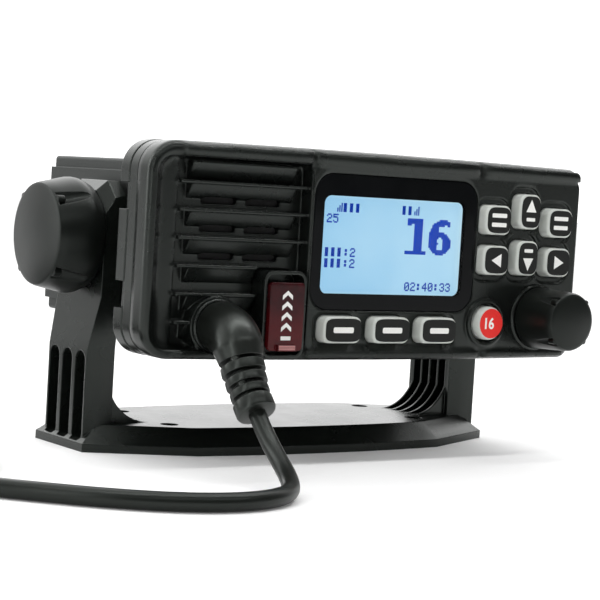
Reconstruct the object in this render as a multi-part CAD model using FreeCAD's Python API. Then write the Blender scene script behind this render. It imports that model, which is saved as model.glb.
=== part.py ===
import FreeCAD, Part
import math
import os

# A fixed-mount marine radio on its gimbal bracket, with its fist microphone.
# Millimetres. X to the right of someone who faces the radio, Y to the back, Z up.
# The origin is on the mounting surface, at the centre of the bracket's four screw holes.

# ------------------------------------------------------------------ bracket sizes
base_overhang = 1.6         # the base runs on past each leg's outside face
base_depth = 66.0           # along Y, at the middle of the bowed edges
base_end_depth = 30.0       # length of the straight end edges
base_corner_x = 46.0        # where the bowed edge meets the corner facet
base_corner_depth = 60.0    # depth of the base at that place
base_band = 2.5             # upright edge under the bevel
base_height = 7.6           # top of the plate
base_bevel = 6.4            # how far the bevel runs in
base_rim = 3.4              # wall left round the hollow underside
base_skin = 2.6             # plate over the hollow
base_rib = 1.8              # stiffening ribs in the hollow
hole_spacing_x = 95.0
hole_spacing_y = 30.0
hole_radius = 2.8
hole_boss_radius = 5.6
leg_thickness = 10.2
leg_width = 24.0
leg_head_width = 27.2
leg_head_inset = 2.9        # the head's outer face lies in from the leg's
leg_bend_low = 30.0         # heights between which the leg bends in
leg_bend_high = 46.0
leg_top = 80.5
leg_top_width = 16.4
leg_shoulder = 75.1         # height where the head's slope starts
leg_bevel = 3.2
leg_crease = 1.3            # the inner half of the leg's edge leans back this far
leg_fillet = 15.0           # big radius from leg to plate
leg_fillet_width = 18.4
leg_fillet_set = 1.0        # the radius ends this far inside the leg's inner face
slot_count = 3
slot_width = 6.1
slot_pitch = 8.1
slot_depth = 4.4
slot_bottom = 1.9
slot_top = 29.6
groove_count = 4
groove_width = 3.5
groove_pitch = 4.4
groove_depth = 3.0
groove_top = 49.0
axis_height = 63.5          # tilt axis above the mounting surface
stud_radius = 2.95
stud_clearance = 0.15       # round the stud in the leg

# ------------------------------------------------------------------ radio sizes
# The radio's own frame: y = 0 on the front rim, z = 0 at the middle of the face.
face_width = 161.5
face_height = 62.4
face_crown = 0.6            # bow of the long edges
face_corner = 9.0           # corners at the loudspeaker's end
face_corner_right = 4.5     # corners at the keypad's end
face_edge = 2.2             # rounding of the front edge
axis_depth = 52.5           # tilt axis behind the front rim
axis_above_face = 1.2       # tilt axis above the middle of the face
bezel_depth = 7.7
mid_depth = 4.5
flange_depth = 5.0
layer_groove = 0.35         # small chamfer at each joint between the layers
wall = 2.4
skin = 1.6
zone_proud = 0.8            # display and key panel stand out from the rim
strip_proud = 0.9           # the three strips of the top border stand out from the panel
strip_width = 4.6
strip_gap = 2.4
foot_strip_width = 3.0
panel_left = -26.0          # left end of the display panel
panel_split = 37.8          # gap between display strip and key strip
strip_left = -70.5
strip_right = 79.3
strip_inset = 0.9
strip_corner = 2.0
foot_strip_right = 76.0
bay_left = -75.5            # speaker bay
bay_depth = 3.0
bay_top = 26.4
bay_bottom = -28.0
bay_slope = 3.6             # the left side of the bay runs in as a slope
bay_corner = 5.0
louvre_left = -70.2
louvre_depth = 5.2
louvre_pitch = 7.95
louvre_first = 19.9
louvre_rows = 6
louvre_inset = 4.0          # dark ends beside the louvre faces
louvre_front = 1.2
louvre_drop = 5.0
ledge_thickness = 0.9
sound_slot_height = 1.9
sound_slot_drop = 5.6
sound_slot_width = 12.0
sound_slot_gap = 3.2
sound_slot_rows = 3
sound_offset = 1.9          # the sound slots sit a little outboard of the loudspeaker

lens_left = -25.6
lens_width = 62.4
lens_low = -16.1
lens_height = 40.4
lens_corner = 6.5
lens_thickness = 1.4
window_left = -22.0
window_width = 54.5
window_low = -11.2
window_height = 29.0
window_corner = 2.4
lens_clearance = 0.12
lcd_border = 2.6
lcd_thickness = 1.8

key_front = 4.0             # key tops stand this far before the rim
key_travel = 1.0
key_clearance = 0.25
key_flange = 0.8            # hidden lip that keeps a key in
key_flange_thickness = 0.8
key_gap_behind_skin = 0.3
key_edge = 0.9
pad_centre_x = 56.1
pad_pitch_x = 13.05
pad_high_z = 13.1
pad_low_z = 0.5
pad_mid_high_z = 16.2
pad_mid_low_z = 1.5
pad_side_width = 10.6
pad_side_height = 9.2
pad_mid_width = 8.9
pad_mid_height = 11.0
pad_corner = 2.6
pad_margin = 2.2
pad_ridge = 0.6             # thin wall between the lens and the keypad's recess
soft_centre_x = 3.45
soft_pitch = 18.27
soft_z = -21.7
soft_width = 14.0
soft_height = 7.9
soft_corner = 2.4
soft_margin = 1.6
red_x = 42.5
red_z = -19.3
red_radius = 5.2
red_ring_radius = 7.6
red_ring_wall = 1.2
red_ring_proud = 1.2

volume_x = 63.4
volume_z = -17.4
volume_ring_radius = 10.6
volume_ring_thickness = 1.3
volume_base_radius = 9.8
volume_front_radius = 9.2
volume_length = 16.2
volume_front_edge = 1.5
volume_back_edge = 0.4
volume_gap = 0.4
grip_count = 4
shaft_radius = 3.0
shaft_clearance = 0.05
shaft_flat = 0.7
encoder_size = 12.0
encoder_depth = 4.0
bushing_radius = 4.2
knob_bore_depth = 11.0

alert_left = -41.9
alert_width = 14.8
alert_top = -4.9
alert_height = 25.4
alert_corner = 3.0
alert_rim = 1.0
alert_proud = 1.0
alert_floor = 4.0
alert_clearance = 0.15
alert_lip = 0.9
cover_top = -8.1
cover_bottom = -28.0
cover_thickness = 1.3
cover_clearance = 0.3
cover_pin_radius = 0.7
cover_barrel_radius = 1.5
cover_pin_drop = 0.5
cover_proud = 0.9
cover_tab_width = 6.3
cover_tab_height = 1.8
cover_tab_proud = 1.0
alert_key_width = 8.4
alert_key_height = 10.0
alert_key_proud = 2.2

gland_x = -56.6
gland_z = -21.3
gland_radius = 7.9
gland_ring_thickness = 1.2
gland_bore = 5.2
gland_clearance = 0.1
gland_boss_radius = 8.6
elbow_radius = 7.2
elbow_end_radius = 6.3
elbow_lead = 2.4            # straight, then a bend, then straight again
elbow_bend = 9.5
elbow_turn = 62.0
elbow_tail = 3.7
relief_turn = 14.0          # the relief bends back this much under the cord's pull
relief_collar_radii = (6.3, 5.95, 5.6)
relief_collar_lengths = (2.9, 2.6, 2.4)
relief_groove = 1.1
collar_edge = 0.4
relief_end_edge = 0.9
relief_end_radius = 5.7
relief_end_length = 4.3
relief_core = 4.1
relief_web = 1.35
relief_overlap = 0.5
cord_diameter = 5.0

chassis_half_width = 64.0
chassis_ledge = 1.5
chassis_main_top = 21.5
chassis_top = 25.1
chassis_main_low = -20.3
chassis_low = -24.0
chassis_end = 98.5
chassis_wall = 3.2
chassis_rear_wall = 4.0
chassis_edge = 1.2
fin_depth = 9.0
fin_count = 11
fin_thickness = 2.2
fin_margin = 31.0           # from the chassis' side to the first fin
insert_radius = 4.6
insert_length = 9.0
boss_radius = 7.5
washer_radius = 12.0
washer_thickness = 1.1
washer_clearance = 0.3
seal_thickness = 0.8
side_notch_height = 7.7
side_notch_depth = 2.6
side_notch_high = 14.4
side_notch_low = -13.5

speaker_inset = 18.5        # from the chassis' side to the loudspeaker's centre
speaker_clearance = 0.4
speaker_z = 3.0
speaker_radius = 16.5
speaker_rim = 1.6
speaker_depth = 9.0
magnet_radius = 9.0
magnet_depth = 5.0
mesh_thickness = 0.5
board_thickness = 1.6
board_clearance = 0.4
mat_thickness = 2.0
mat_gap = 1.3
case_screw_x = 75.0
case_screw_z = 24.6
case_screw_depth = 4.3      # where the screws end in the bezel
post_radius = 3.7
screw_radius = 1.5
screw_head_radius = 2.8
screw_head_height = 2.0
screw_clearance = 0.2
board_post = 7.0
board_side_gap = 10.0       # between the main board and the outside of the chassis
board_front_gap = 8.0
board_length = 56.0
coil_places = (18.0, 28.0, 38.0)
coil_row = 42.0             # from the board's front edge
coil_radius = 3.6
coil_height = 6.0
capacitor_places = (20.0, 31.0)
capacitor_row = 12.0
capacitor_radius = 4.2
capacitor_height = 9.0
shield_left = -46.0
shield_right = 8.0
shield_margin = 9.0
shield_height = 8.0
shield_wall = 0.8
module_half_width = 24.0
module_depth = 12.0
module_drop = 4.0
module_height = 6.0
socket_inset = 17.0         # from the chassis' side
socket_z = 4.0
socket_radius = 7.9
socket_length = 15.0
socket_flange = 24.0
socket_flange_thickness = 2.0
rear_gland_inset = 17.0
rear_gland_pitch = 20.0
rear_gland_radius = 6.0
rear_gland_length = 7.0

knob_seat_gap = 0.3
knob_length = 15.4
knob_back_radius = 16.0
knob_wide_radius = 17.4
knob_front_radius = 15.6
knob_wide_place = 5.0
knob_wide_band = 2.8        # the widest part is rounded over this length
knob_back_edge = 0.7
knob_front_edge = 1.3
stud_grip = 9.0

# ------------------------------------------------------------------ fist microphone
mic_x = -165.0              # where the microphone lies
mic_y = 36.0
mic_boot_length = 17.0
mic_boot_radius = 5.6
mic_boot_tip = 3.8
mic_length = 84.0
mic_low_width = 42.0
mic_high_width = 58.0
mic_back_depth = 12.0
mic_front_depth = 14.0
mic_corner = 10.0
mic_round = 4.0
mic_wall = 2.2
mic_axis_height = 12.0
talk_length = 34.0
talk_height = 11.0
talk_proud = 3.0
talk_thickness = 6.6
talk_travel = 1.8
talk_clearance = 0.35
mic_key_width = 9.0
mic_key_height = 6.0
mic_key_pitch = 13.0
mic_key_proud = 1.6
mic_key_travel = 0.8
mic_key_inset = 18.0        # from the far end to the row of keys
mic_screw_x = 12.0
mic_screw_low = 9.0         # from the boot's end of the shells
mic_screw_high = 10.0       # from the far end
mic_screw_sink = 0.4
mic_screw_grip = 3.0        # thread in the front shell
mic_board_half = 15.0
mic_board_low = 12.0        # the board starts this far before the sound slots
mic_board_high = 8.5        # and ends this far from the far end
mic_slot_place = 0.42       # middle of the sound slots, as a share of the length
mic_post_radius = 3.4
mic_post_clearance = 0.8
mic_slot_count = 5
mic_slot_width = 1.6
mic_slot_pitch = 3.6
mic_slot_length = 20.0
mic_capsule_radius = 4.8
hang_recess_radius = 9.0
hang_recess_depth = 3.2
hang_stud_radius = 6.0

# ------------------------------------------------------------------ cord
coil_x = -147.0
coil_y = -20.0
coil_turn_radii = 3         # turns side by side
coil_layers = 2
coil_mean_radius = 25.0
cord_lead = 6.0
cord_points = [             # from the relief down to the surface and round to the coil
    (-56.8, -86.6, 8.9),
    (-58.2, -94.4, 4.9),
    (-62.8, -103.0, 2.75),
    (-71.6, -110.0, 2.55),
    (-84.2, -113.0, 2.55),
    (-99.0, -109.4, 2.55),
    (-114.0, -99.2, 2.55),
    (-128.5, -84.4, 2.55),
    (-142.3, -68.3, 2.55),
    (-155.6, -53.6, 2.55),
]
tail_points = [             # from the coil's upper layer to the microphone
    (-176.8, -8.2, 7.7),
    (-173.0, 3.8, 9.2),
    (-168.0, 14.5, 11.0),
    (-165.0, 25.5, 12.0),
]

# ------------------------------------------------------------------ values that follow
half_w = face_width / 2
half_h = face_height / 2
face_z = axis_height - axis_above_face
mid_y = bezel_depth
flange_y = mid_y + mid_depth
seal_y = flange_y + flange_depth
chassis_y = seal_y + seal_thickness
zone_y = -zone_proud
strip_y = zone_y - strip_proud
zone_top = half_h - strip_width
zone_low = -half_h + foot_strip_width
zone_right = half_w - 1.3
inside_right = half_w - wall - 1.0
cavity_y = skin
louvre_right = panel_left - 0.3
bay_back = louvre_depth + skin
speaker_x = speaker_inset - chassis_half_width
sound_centre_x = speaker_x - sound_offset
board_half_width = chassis_half_width - board_side_gap
fin_field = 2 * (chassis_half_width - fin_margin)
socket_x = socket_inset - chassis_half_width
rear_gland_x = chassis_half_width - rear_gland_inset
leg_inner_x = chassis_half_width + washer_thickness + washer_clearance
leg_outer_x = leg_inner_x + leg_thickness
base_length = 2 * (leg_outer_x + base_overhang)
head_x = leg_outer_x - leg_head_inset
cord_r = cord_diameter / 2
relief_length = sum(relief_collar_lengths) + (len(relief_collar_lengths) + 1) * relief_groove + relief_end_length
key_flange_y = cavity_y + key_gap_behind_skin
mat_y = key_flange_y + key_flange_thickness + mat_gap
board_y = mat_y + mat_thickness
fillet_x = leg_inner_x + leg_fillet_set - leg_fillet
fillet_z = base_height + leg_fillet
cover_y = zone_y - alert_proud - cover_proud
cover_pin_y = cover_y + cover_thickness + cover_barrel_radius
cover_pin_z = cover_top - cover_barrel_radius - cover_pin_drop

V = FreeCAD.Vector
X_AXIS = V(1, 0, 0)
Y_AXIS = V(0, 1, 0)
Z_AXIS = V(0, 0, 1)


# ------------------------------------------------------------------ small helpers
def block(x0, x1, y0, y1, z0, z1):
    return Part.makeBox(x1 - x0, y1 - y0, z1 - z0, V(x0, y0, z0))


def rod(centre, direction, radius, length):
    """A cylinder that starts at centre and runs along direction."""
    return Part.makeCylinder(radius, length, V(*centre), direction)


def ring(centre, direction, outer, inner, length):
    return rod(centre, direction, outer, length).cut(rod(centre, direction, inner, length))


def fuse(shapes):
    whole = shapes[0]
    if len(shapes) > 1:
        whole = whole.multiFuse(shapes[1:]).removeSplitter()
    return whole


def cut(shape, tools):
    return shape.cut(tools) if tools else shape


def polygon(points):
    return Part.Face(Part.makePolygon([V(*p) for p in points] + [V(*points[0])]))


def plate(x0, x1, z0, z1, y0, y1, corner):
    """A flat plate in the XZ plane with round corners, from y0 to y1."""
    solid = block(x0, x1, y0, y1, z0, z1)
    upright = [e for e in solid.Edges if e.tangentAt(e.FirstParameter).cross(Y_AXIS).Length < 1e-6]
    return solid.makeFillet(corner, upright)


def round_front(solid, y, radius):
    """Round the edges that lie on the plane y."""
    edges = [e for e in solid.Edges
             if abs(e.BoundBox.YMin - y) < 1e-4 and abs(e.BoundBox.YMax - y) < 1e-4]
    return solid.makeFillet(radius, edges)


def turned(profile, centre, direction):
    """A solid turned round the line through centre along direction; profile is (radius, along)."""
    flat = Part.Face(Part.makePolygon([V(r, 0, s) for r, s in profile] + [V(profile[0][0], 0, profile[0][1])]))
    solid = flat.revolve(V(0, 0, 0), Z_AXIS, 360)
    solid.Placement = FreeCAD.Placement(V(*centre), FreeCAD.Rotation(Z_AXIS, V(*direction)))
    return solid


def eased_rim(radius, along, edge):
    """Profile points that ease a turned rim in two short cones, from its side to its end face."""
    return [(radius, along - edge), (radius - edge * 0.3, along - edge * 0.3), (radius - edge, along)]


def mirrored(shape):
    return shape.mirror(V(0, 0, 0), X_AXIS)


def on_radio(shape):
    """Move a shape from the radio's own frame to its place over the bracket."""
    moved = shape.copy()
    moved.translate(V(0, -axis_depth, face_z))
    return moved


def save(name, shape):
    solids = shape.Solids
    body = solids[0] if len(solids) == 1 else Part.makeCompound(solids)
    assert solids and all(s.isValid() for s in solids), name
    body.exportStep("parts/" + name + ".step")
    print(name, len(solids), round(sum(s.Volume for s in solids), 1))
    return body


# ------------------------------------------------------------------ bracket
def base_outline(z):
    """The base's plan: straight ends, corner facets and two bowed long edges."""
    x_end, y_end = base_length / 2, base_end_depth / 2
    x_corner, y_corner = base_corner_x, base_corner_depth / 2
    edges = []
    for sign in (-1, 1):
        a = V(sign * x_corner, sign * y_corner, z)
        b = V(-sign * x_corner, sign * y_corner, z)
        edges.append(Part.Arc(a, V(0, sign * base_depth / 2, z), b).toShape())
        c = V(-sign * x_end, sign * y_end, z)
        d = V(-sign * x_end, -sign * y_end, z)
        e = V(-sign * x_corner, -sign * y_corner, z)
        for p, q in ((b, c), (c, d), (d, e)):
            edges.append(Part.LineSegment(p, q).toShape())
    return Part.Wire(Part.__sortEdges__(edges))


def drawn_in(wire, distance):
    return wire.makeOffset2D(-distance, 2)


def base_plate():
    low = Part.Face(base_outline(0)).extrude(V(0, 0, base_band))
    edge = base_outline(base_band)
    top = drawn_in(edge, base_bevel)
    top.translate(V(0, 0, base_height - base_band))
    bevel = Part.makeLoft([edge, top], True, True)
    return low.fuse(bevel).removeSplitter()


def base_hollow():
    """The cored underside, with ribs left standing between its pockets."""
    inset = base_rim + base_bevel * 0.6
    hollow = Part.Face(drawn_in(base_outline(0), inset)).extrude(V(0, 0, base_height - base_skin))
    reach = base_length
    ribs = [block(-reach, reach, -base_rib / 2, base_rib / 2, 0, base_height)]
    for i in range(-2, 3):
        x = i * hole_spacing_x / 4
        ribs.append(block(x - base_rib / 2, x + base_rib / 2, -reach, reach, 0, base_height))
    for sx in (-1, 1):
        for sy in (-1, 1):
            place = (sx * hole_spacing_x / 2, sy * hole_spacing_y / 2, 0)
            ribs.append(rod(place, Z_AXIS, hole_boss_radius, base_height))
        x = sx * fillet_x
        ribs.append(block(min(x, sx * reach), max(x, sx * reach), -reach, reach, 0, base_height))
    return hollow.cut(ribs)


def leg_side_profile():
    """The leg seen from the side: narrow below, a wider head with sloped shoulders."""
    half, head, top = leg_width / 2, leg_head_width / 2, leg_top_width / 2
    right = [(half, 0), (half, leg_bend_low), (head, leg_bend_high), (head, leg_shoulder), (top, leg_top)]
    points = [(0, y, z) for y, z in right] + [(0, -y, z) for y, z in reversed(right)]
    return polygon(points)


def leg_front_profile():
    """The right leg seen from the front; its outer face bends in under the head."""
    points = [(leg_outer_x, 0), (leg_outer_x, leg_bend_low), (head_x, leg_bend_high), (head_x, leg_top),
              (leg_inner_x, leg_top), (leg_inner_x, 0)]
    return polygon([(x, 0, z) for x, z in points])


def round_profile(corners, centre_x, centre_z, radius, y, depth):
    """Extrude a profile along Y whose last corner joins its first by an arc about a centre."""
    points = [V(x, y, z) for x, z in corners]
    edges = [Part.LineSegment(p, q).toShape() for p, q in zip(points, points[1:])]
    half = V(centre_x, y, centre_z)
    way = (points[0] - half) + (points[-1] - half)
    way.normalize()
    edges.append(Part.Arc(points[-1], half + way * radius, points[0]).toShape())
    return Part.Face(Part.Wire(edges)).extrude(V(0, depth, 0))


def leg_foot():
    """The big radius that joins the leg to the plate, set back from the leg's edges."""
    wall_x = fillet_x + leg_fillet
    low = base_height - base_skin
    corners = [(wall_x, fillet_z), (wall_x + 2, fillet_z), (wall_x + 2, low), (fillet_x, low),
               (fillet_x, base_height)]
    return round_profile(corners, fillet_x, fillet_z, leg_fillet, -leg_fillet_width / 2, leg_fillet_width)


def leg_groove(y):
    """One groove in the leg's inner face; it follows the big radius down to the plate."""
    reach = leg_fillet + groove_depth
    foot_x = fillet_x + math.sqrt(reach ** 2 - leg_fillet ** 2)
    near_x = leg_inner_x - leg_fillet_set
    corners = [(fillet_x + reach, fillet_z), (fillet_x + reach, groove_top), (near_x, groove_top),
               (near_x, fillet_z), (fillet_x, fillet_z), (fillet_x, base_height), (foot_x, base_height)]
    return round_profile(corners, fillet_x, fillet_z, reach, y, groove_width)


def leg_slot(y):
    """One tall round-ended slot in the leg's outer face."""
    r = slot_width / 2
    x0 = leg_outer_x - slot_depth
    low, high = slot_bottom + r, slot_top - r
    body = block(x0, leg_outer_x + 1, y - r, y + r, low, high)
    ends = [rod((x0, y, z), X_AXIS, r, slot_depth + 1) for z in (low, high)]
    return body.fuse(ends)


def right_leg():
    side = leg_side_profile().extrude(V(leg_outer_x + 1, 0, 0))
    front = leg_front_profile()
    front.translate(V(0, -leg_head_width, 0))
    leg = side.common(front.extrude(V(0, 2 * leg_head_width, 0)))
    bevel_edges = [e for e in leg.Edges
                   if abs(e.BoundBox.XMin - head_x) < 1e-4 and abs(e.BoundBox.XMax - head_x) < 1e-4
                   and e.BoundBox.ZMin > leg_shoulder - 0.01]
    leg = leg.makeChamfer(leg_bevel, bevel_edges)
    inner_edges = [e for e in leg.Edges
                   if abs(e.BoundBox.XMin - leg_inner_x) < 1e-4 and abs(e.BoundBox.XMax - leg_inner_x) < 1e-4
                   and e.BoundBox.ZMax < leg_shoulder + 0.1 and e.BoundBox.ZLength > 1 and e.BoundBox.YMin > 0]
    leg = leg.makeChamfer(leg_crease, leg_thickness / 2, inner_edges)
    back_half = leg.common(block(0, leg_outer_x + 1, 0, leg_head_width, -1, leg_top + 1))
    leg = back_half.fuse(back_half.mirror(V(0, 0, 0), Y_AXIS)).removeSplitter()
    leg = leg.fuse(leg_foot())
    first = -(groove_count - 1) / 2 * groove_pitch - groove_width / 2
    tools = [leg_groove(first + i * groove_pitch) for i in range(groove_count)]
    tools += [leg_slot((i - (slot_count - 1) / 2) * slot_pitch) for i in range(slot_count)]
    bore = stud_radius + stud_clearance
    tools.append(rod((leg_inner_x - 1, 0, axis_height), X_AXIS, bore, leg_thickness + 2))
    return leg.cut(tools)


def gimbal_bracket():
    plate_solid = base_plate()
    leg = right_leg()
    whole = plate_solid.cut(base_hollow())
    whole = whole.fuse([leg, mirrored(leg)])
    slots = []
    for i in range(slot_count):
        slot = leg_slot((i - (slot_count - 1) / 2) * slot_pitch)
        slots += [slot, mirrored(slot)]
    holes = [rod((sx * hole_spacing_x / 2, sy * hole_spacing_y / 2, -1), Z_AXIS, hole_radius, base_height + 2)
             for sx in (-1, 1) for sy in (-1, 1)]
    return whole.cut(slots + holes).removeSplitter()


# ------------------------------------------------------------------ case layers
def face_slab(inset, y0, y1):
    """The face's outline with its bowed long edges, before its corners are rounded."""
    hx, hz = half_w - inset, half_h - inset
    top = Part.Arc(V(hx, y0, hz - face_crown), V(0, y0, hz), V(-hx, y0, hz - face_crown)).toShape()
    low = Part.Arc(V(-hx, y0, -hz + face_crown), V(0, y0, -hz), V(hx, y0, -hz + face_crown)).toShape()
    left = Part.LineSegment(V(-hx, y0, hz - face_crown), V(-hx, y0, -hz + face_crown)).toShape()
    right = Part.LineSegment(V(hx, y0, -hz + face_crown), V(hx, y0, hz - face_crown)).toShape()
    return Part.Face(Part.Wire([top, left, low, right])).extrude(V(0, y1 - y0, 0))


def long_way_edges(solid, depth, sign):
    """The straight edges that run the full depth, on one side of the middle."""
    return [e for e in solid.Edges if abs(e.BoundBox.YLength - depth) < 1e-4 and e.BoundBox.XLength < 1e-4
            and e.BoundBox.ZLength < 1e-4 and e.BoundBox.XMin * sign > 0]


def face_block(inset, y0, y1):
    """The face's outline with bowed long edges and round corners, from y0 to y1."""
    solid = face_slab(inset, y0, y1)
    left, right = (long_way_edges(solid, y1 - y0, sign) for sign in (-1, 1))
    solid = solid.makeFillet(max(face_corner - inset, 1.0), left)
    corners = [e for e in long_way_edges(solid, y1 - y0, 1) if e.BoundBox.XMin > half_w - inset - 1e-3]
    return solid.makeFillet(max(face_corner_right - inset, 1.0), corners)


def chamfer_at(solid, y, size):
    edges = [e for e in solid.Edges
             if abs(e.BoundBox.YMin - y) < 1e-4 and abs(e.BoundBox.YMax - y) < 1e-4]
    return solid.makeChamfer(size, edges)


def case_screw_places():
    return [(sx * case_screw_x, sz * case_screw_z) for sx in (-1, 1) for sz in (-1, 1)]


def case_posts(y0, y1, grow=0.0):
    return [rod((x, y0, z), Y_AXIS, post_radius + grow, y1 - y0) for x, z in case_screw_places()]


def key_list():
    """Name, centre x, centre z, width and height of the six pad keys."""
    keys = []
    for row, side_z, mid_z in (("top", pad_high_z, pad_mid_high_z), ("low", pad_low_z, pad_mid_low_z)):
        for column, name in ((-1, "left"), (0, "mid"), (1, "right")):
            x = pad_centre_x + column * pad_pitch_x
            if column:
                keys.append(("pad_key_" + row + "_" + name, x, side_z, pad_side_width, pad_side_height))
            else:
                keys.append(("pad_key_" + row + "_" + name, x, mid_z, pad_mid_width, pad_mid_height))
    return keys


def soft_key_list():
    names = ("left", "mid", "right")
    return [("soft_key_" + n, soft_centre_x + (i - 1) * soft_pitch, soft_z, soft_width, soft_height)
            for i, n in enumerate(names)]


def outline_plate(x, z, width, height, corner, grow, y0, y1):
    w, h = width / 2 + grow, height / 2 + grow
    return plate(x - w, x + w, z - h, z + h, y0, y1, corner + grow)


def key_cap(x, z, width, height, corner):
    cap = outline_plate(x, z, width, height, corner, 0, -key_front, key_flange_y + 0.01)
    cap = round_front(cap, -key_front, key_edge)
    lip = outline_plate(x, z, width, height, corner, key_flange, key_flange_y,
                        key_flange_y + key_flange_thickness)
    return cap.fuse(lip).removeSplitter()


def red_key():
    length = key_front + key_flange_y
    wide, back = red_radius + key_flange, -key_flange_thickness
    profile = [(0, back), (wide, back), (wide, 0), (red_radius, 0)]
    profile += eased_rim(red_radius, length, key_edge) + [(0, length)]
    return turned(profile, (red_x, key_flange_y, red_z), (0, -1, 0))


def louvre_teeth():
    """Slanted louvre faces with a thin ledge between each pair, in the speaker bay."""
    teeth = []
    left = louvre_left + louvre_inset
    for i in range(-1, louvre_rows):
        z = louvre_first - i * louvre_pitch
        right = louvre_right - louvre_inset
        ledge_right = louvre_right
        if z - louvre_drop < alert_top:
            right = min(right, alert_left - 1.2)
            ledge_right = right
        drop = louvre_drop
        if i < 0:
            z = louvre_first + louvre_drop + 0.4
        face = polygon([(left, louvre_front, z), (left, louvre_depth - 0.9, z - drop),
                        (left, louvre_depth, z - drop), (left, louvre_depth, z)])
        teeth.append(face.extrude(V(right - left, 0, 0)))
        if i >= 0:
            teeth.append(block(louvre_left, ledge_right, louvre_front - 0.2, louvre_depth,
                               z - ledge_thickness, z))
    return teeth


def sound_slots():
    slots = []
    for row in range(sound_slot_rows):
        z = louvre_first - row * louvre_pitch - sound_slot_drop
        for side in (-1, 1):
            x = sound_centre_x + side * (sound_slot_gap + sound_slot_width) / 2
            slots.append(plate(x - sound_slot_width / 2, x + sound_slot_width / 2,
                               z - sound_slot_height / 2, z + sound_slot_height / 2,
                               louvre_depth - 2, bay_back + 1, sound_slot_height / 2 - 0.05))
    return slots


def bay_outline(x0, x1, y):
    """A rectangle in the XZ plane whose two left corners are round."""
    c = bay_corner
    d = c * (1 - math.sqrt(0.5))
    z0, z1 = bay_bottom, bay_top
    low = Part.Arc(V(x0 + c, y, z0), V(x0 + d, y, z0 + d), V(x0, y, z0 + c)).toShape()
    high = Part.Arc(V(x0, y, z1 - c), V(x0 + d, y, z1 - d), V(x0 + c, y, z1)).toShape()
    runs = (((x1, z0), (x0 + c, z0)), ((x0, z0 + c), (x0, z1 - c)), ((x0 + c, z1), (x1, z1)), ((x1, z1), (x1, z0)))
    lines = [Part.LineSegment(V(a, y, b), V(e, y, f)).toShape() for (a, b), (e, f) in runs]
    return Part.Wire([lines[0], low, lines[1], high, lines[2], lines[3]])


def speaker_bay():
    """The bay's recess: a sloped side at the left, a panel, and a deeper louvred pocket."""
    x1 = louvre_right
    wires = []
    for y in (-0.5, bay_depth):
        x0 = bay_left - bay_slope * (1 - y / bay_depth)
        wires.append(bay_outline(x0, x1, y))
    bay = Part.makeLoft(wires, True, True)
    pocket = plate(louvre_left, x1, bay_bottom + 0.6, bay_top - 0.4, 0, louvre_depth, 1.5)
    return bay.fuse(pocket)


def top_strips():
    """Raised strips of the border: three along the top and three along the foot."""
    layer = face_slab(strip_inset, strip_y, zone_y + 2.6)
    depth = zone_y + 2.6 - strip_y
    spans = [(strip_left, panel_left - strip_gap / 2), (panel_left + 0.6, panel_split - strip_gap / 2),
             (panel_split + strip_gap / 2, strip_right)]
    strips = []
    for x0, x1 in spans:
        piece = layer.common(block(x0, x1, strip_y - 1, 4, half_h - strip_width, half_h + 1))
        if x1 == strip_right:
            outer = [e for e in long_way_edges(piece, depth, 1)
                     if e.BoundBox.XMin > x1 - 0.01 and e.BoundBox.ZMin > half_h - strip_width + 0.1]
            piece = piece.makeFillet(strip_corner, outer)
        strips.append(round_front(piece, strip_y, 0.7))
    spans = [(strip_left, alert_left - strip_gap / 2),
             (alert_left + alert_width + strip_gap / 2, panel_split + strip_gap),
             (panel_split + 2 * strip_gap, foot_strip_right)]
    for x0, x1 in spans:
        piece = layer.common(block(x0, x1, strip_y - 1, 4, -half_h - 1, -half_h + foot_strip_width))
        strips.append(round_front(piece, strip_y, 0.7))
    return strips


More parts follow.
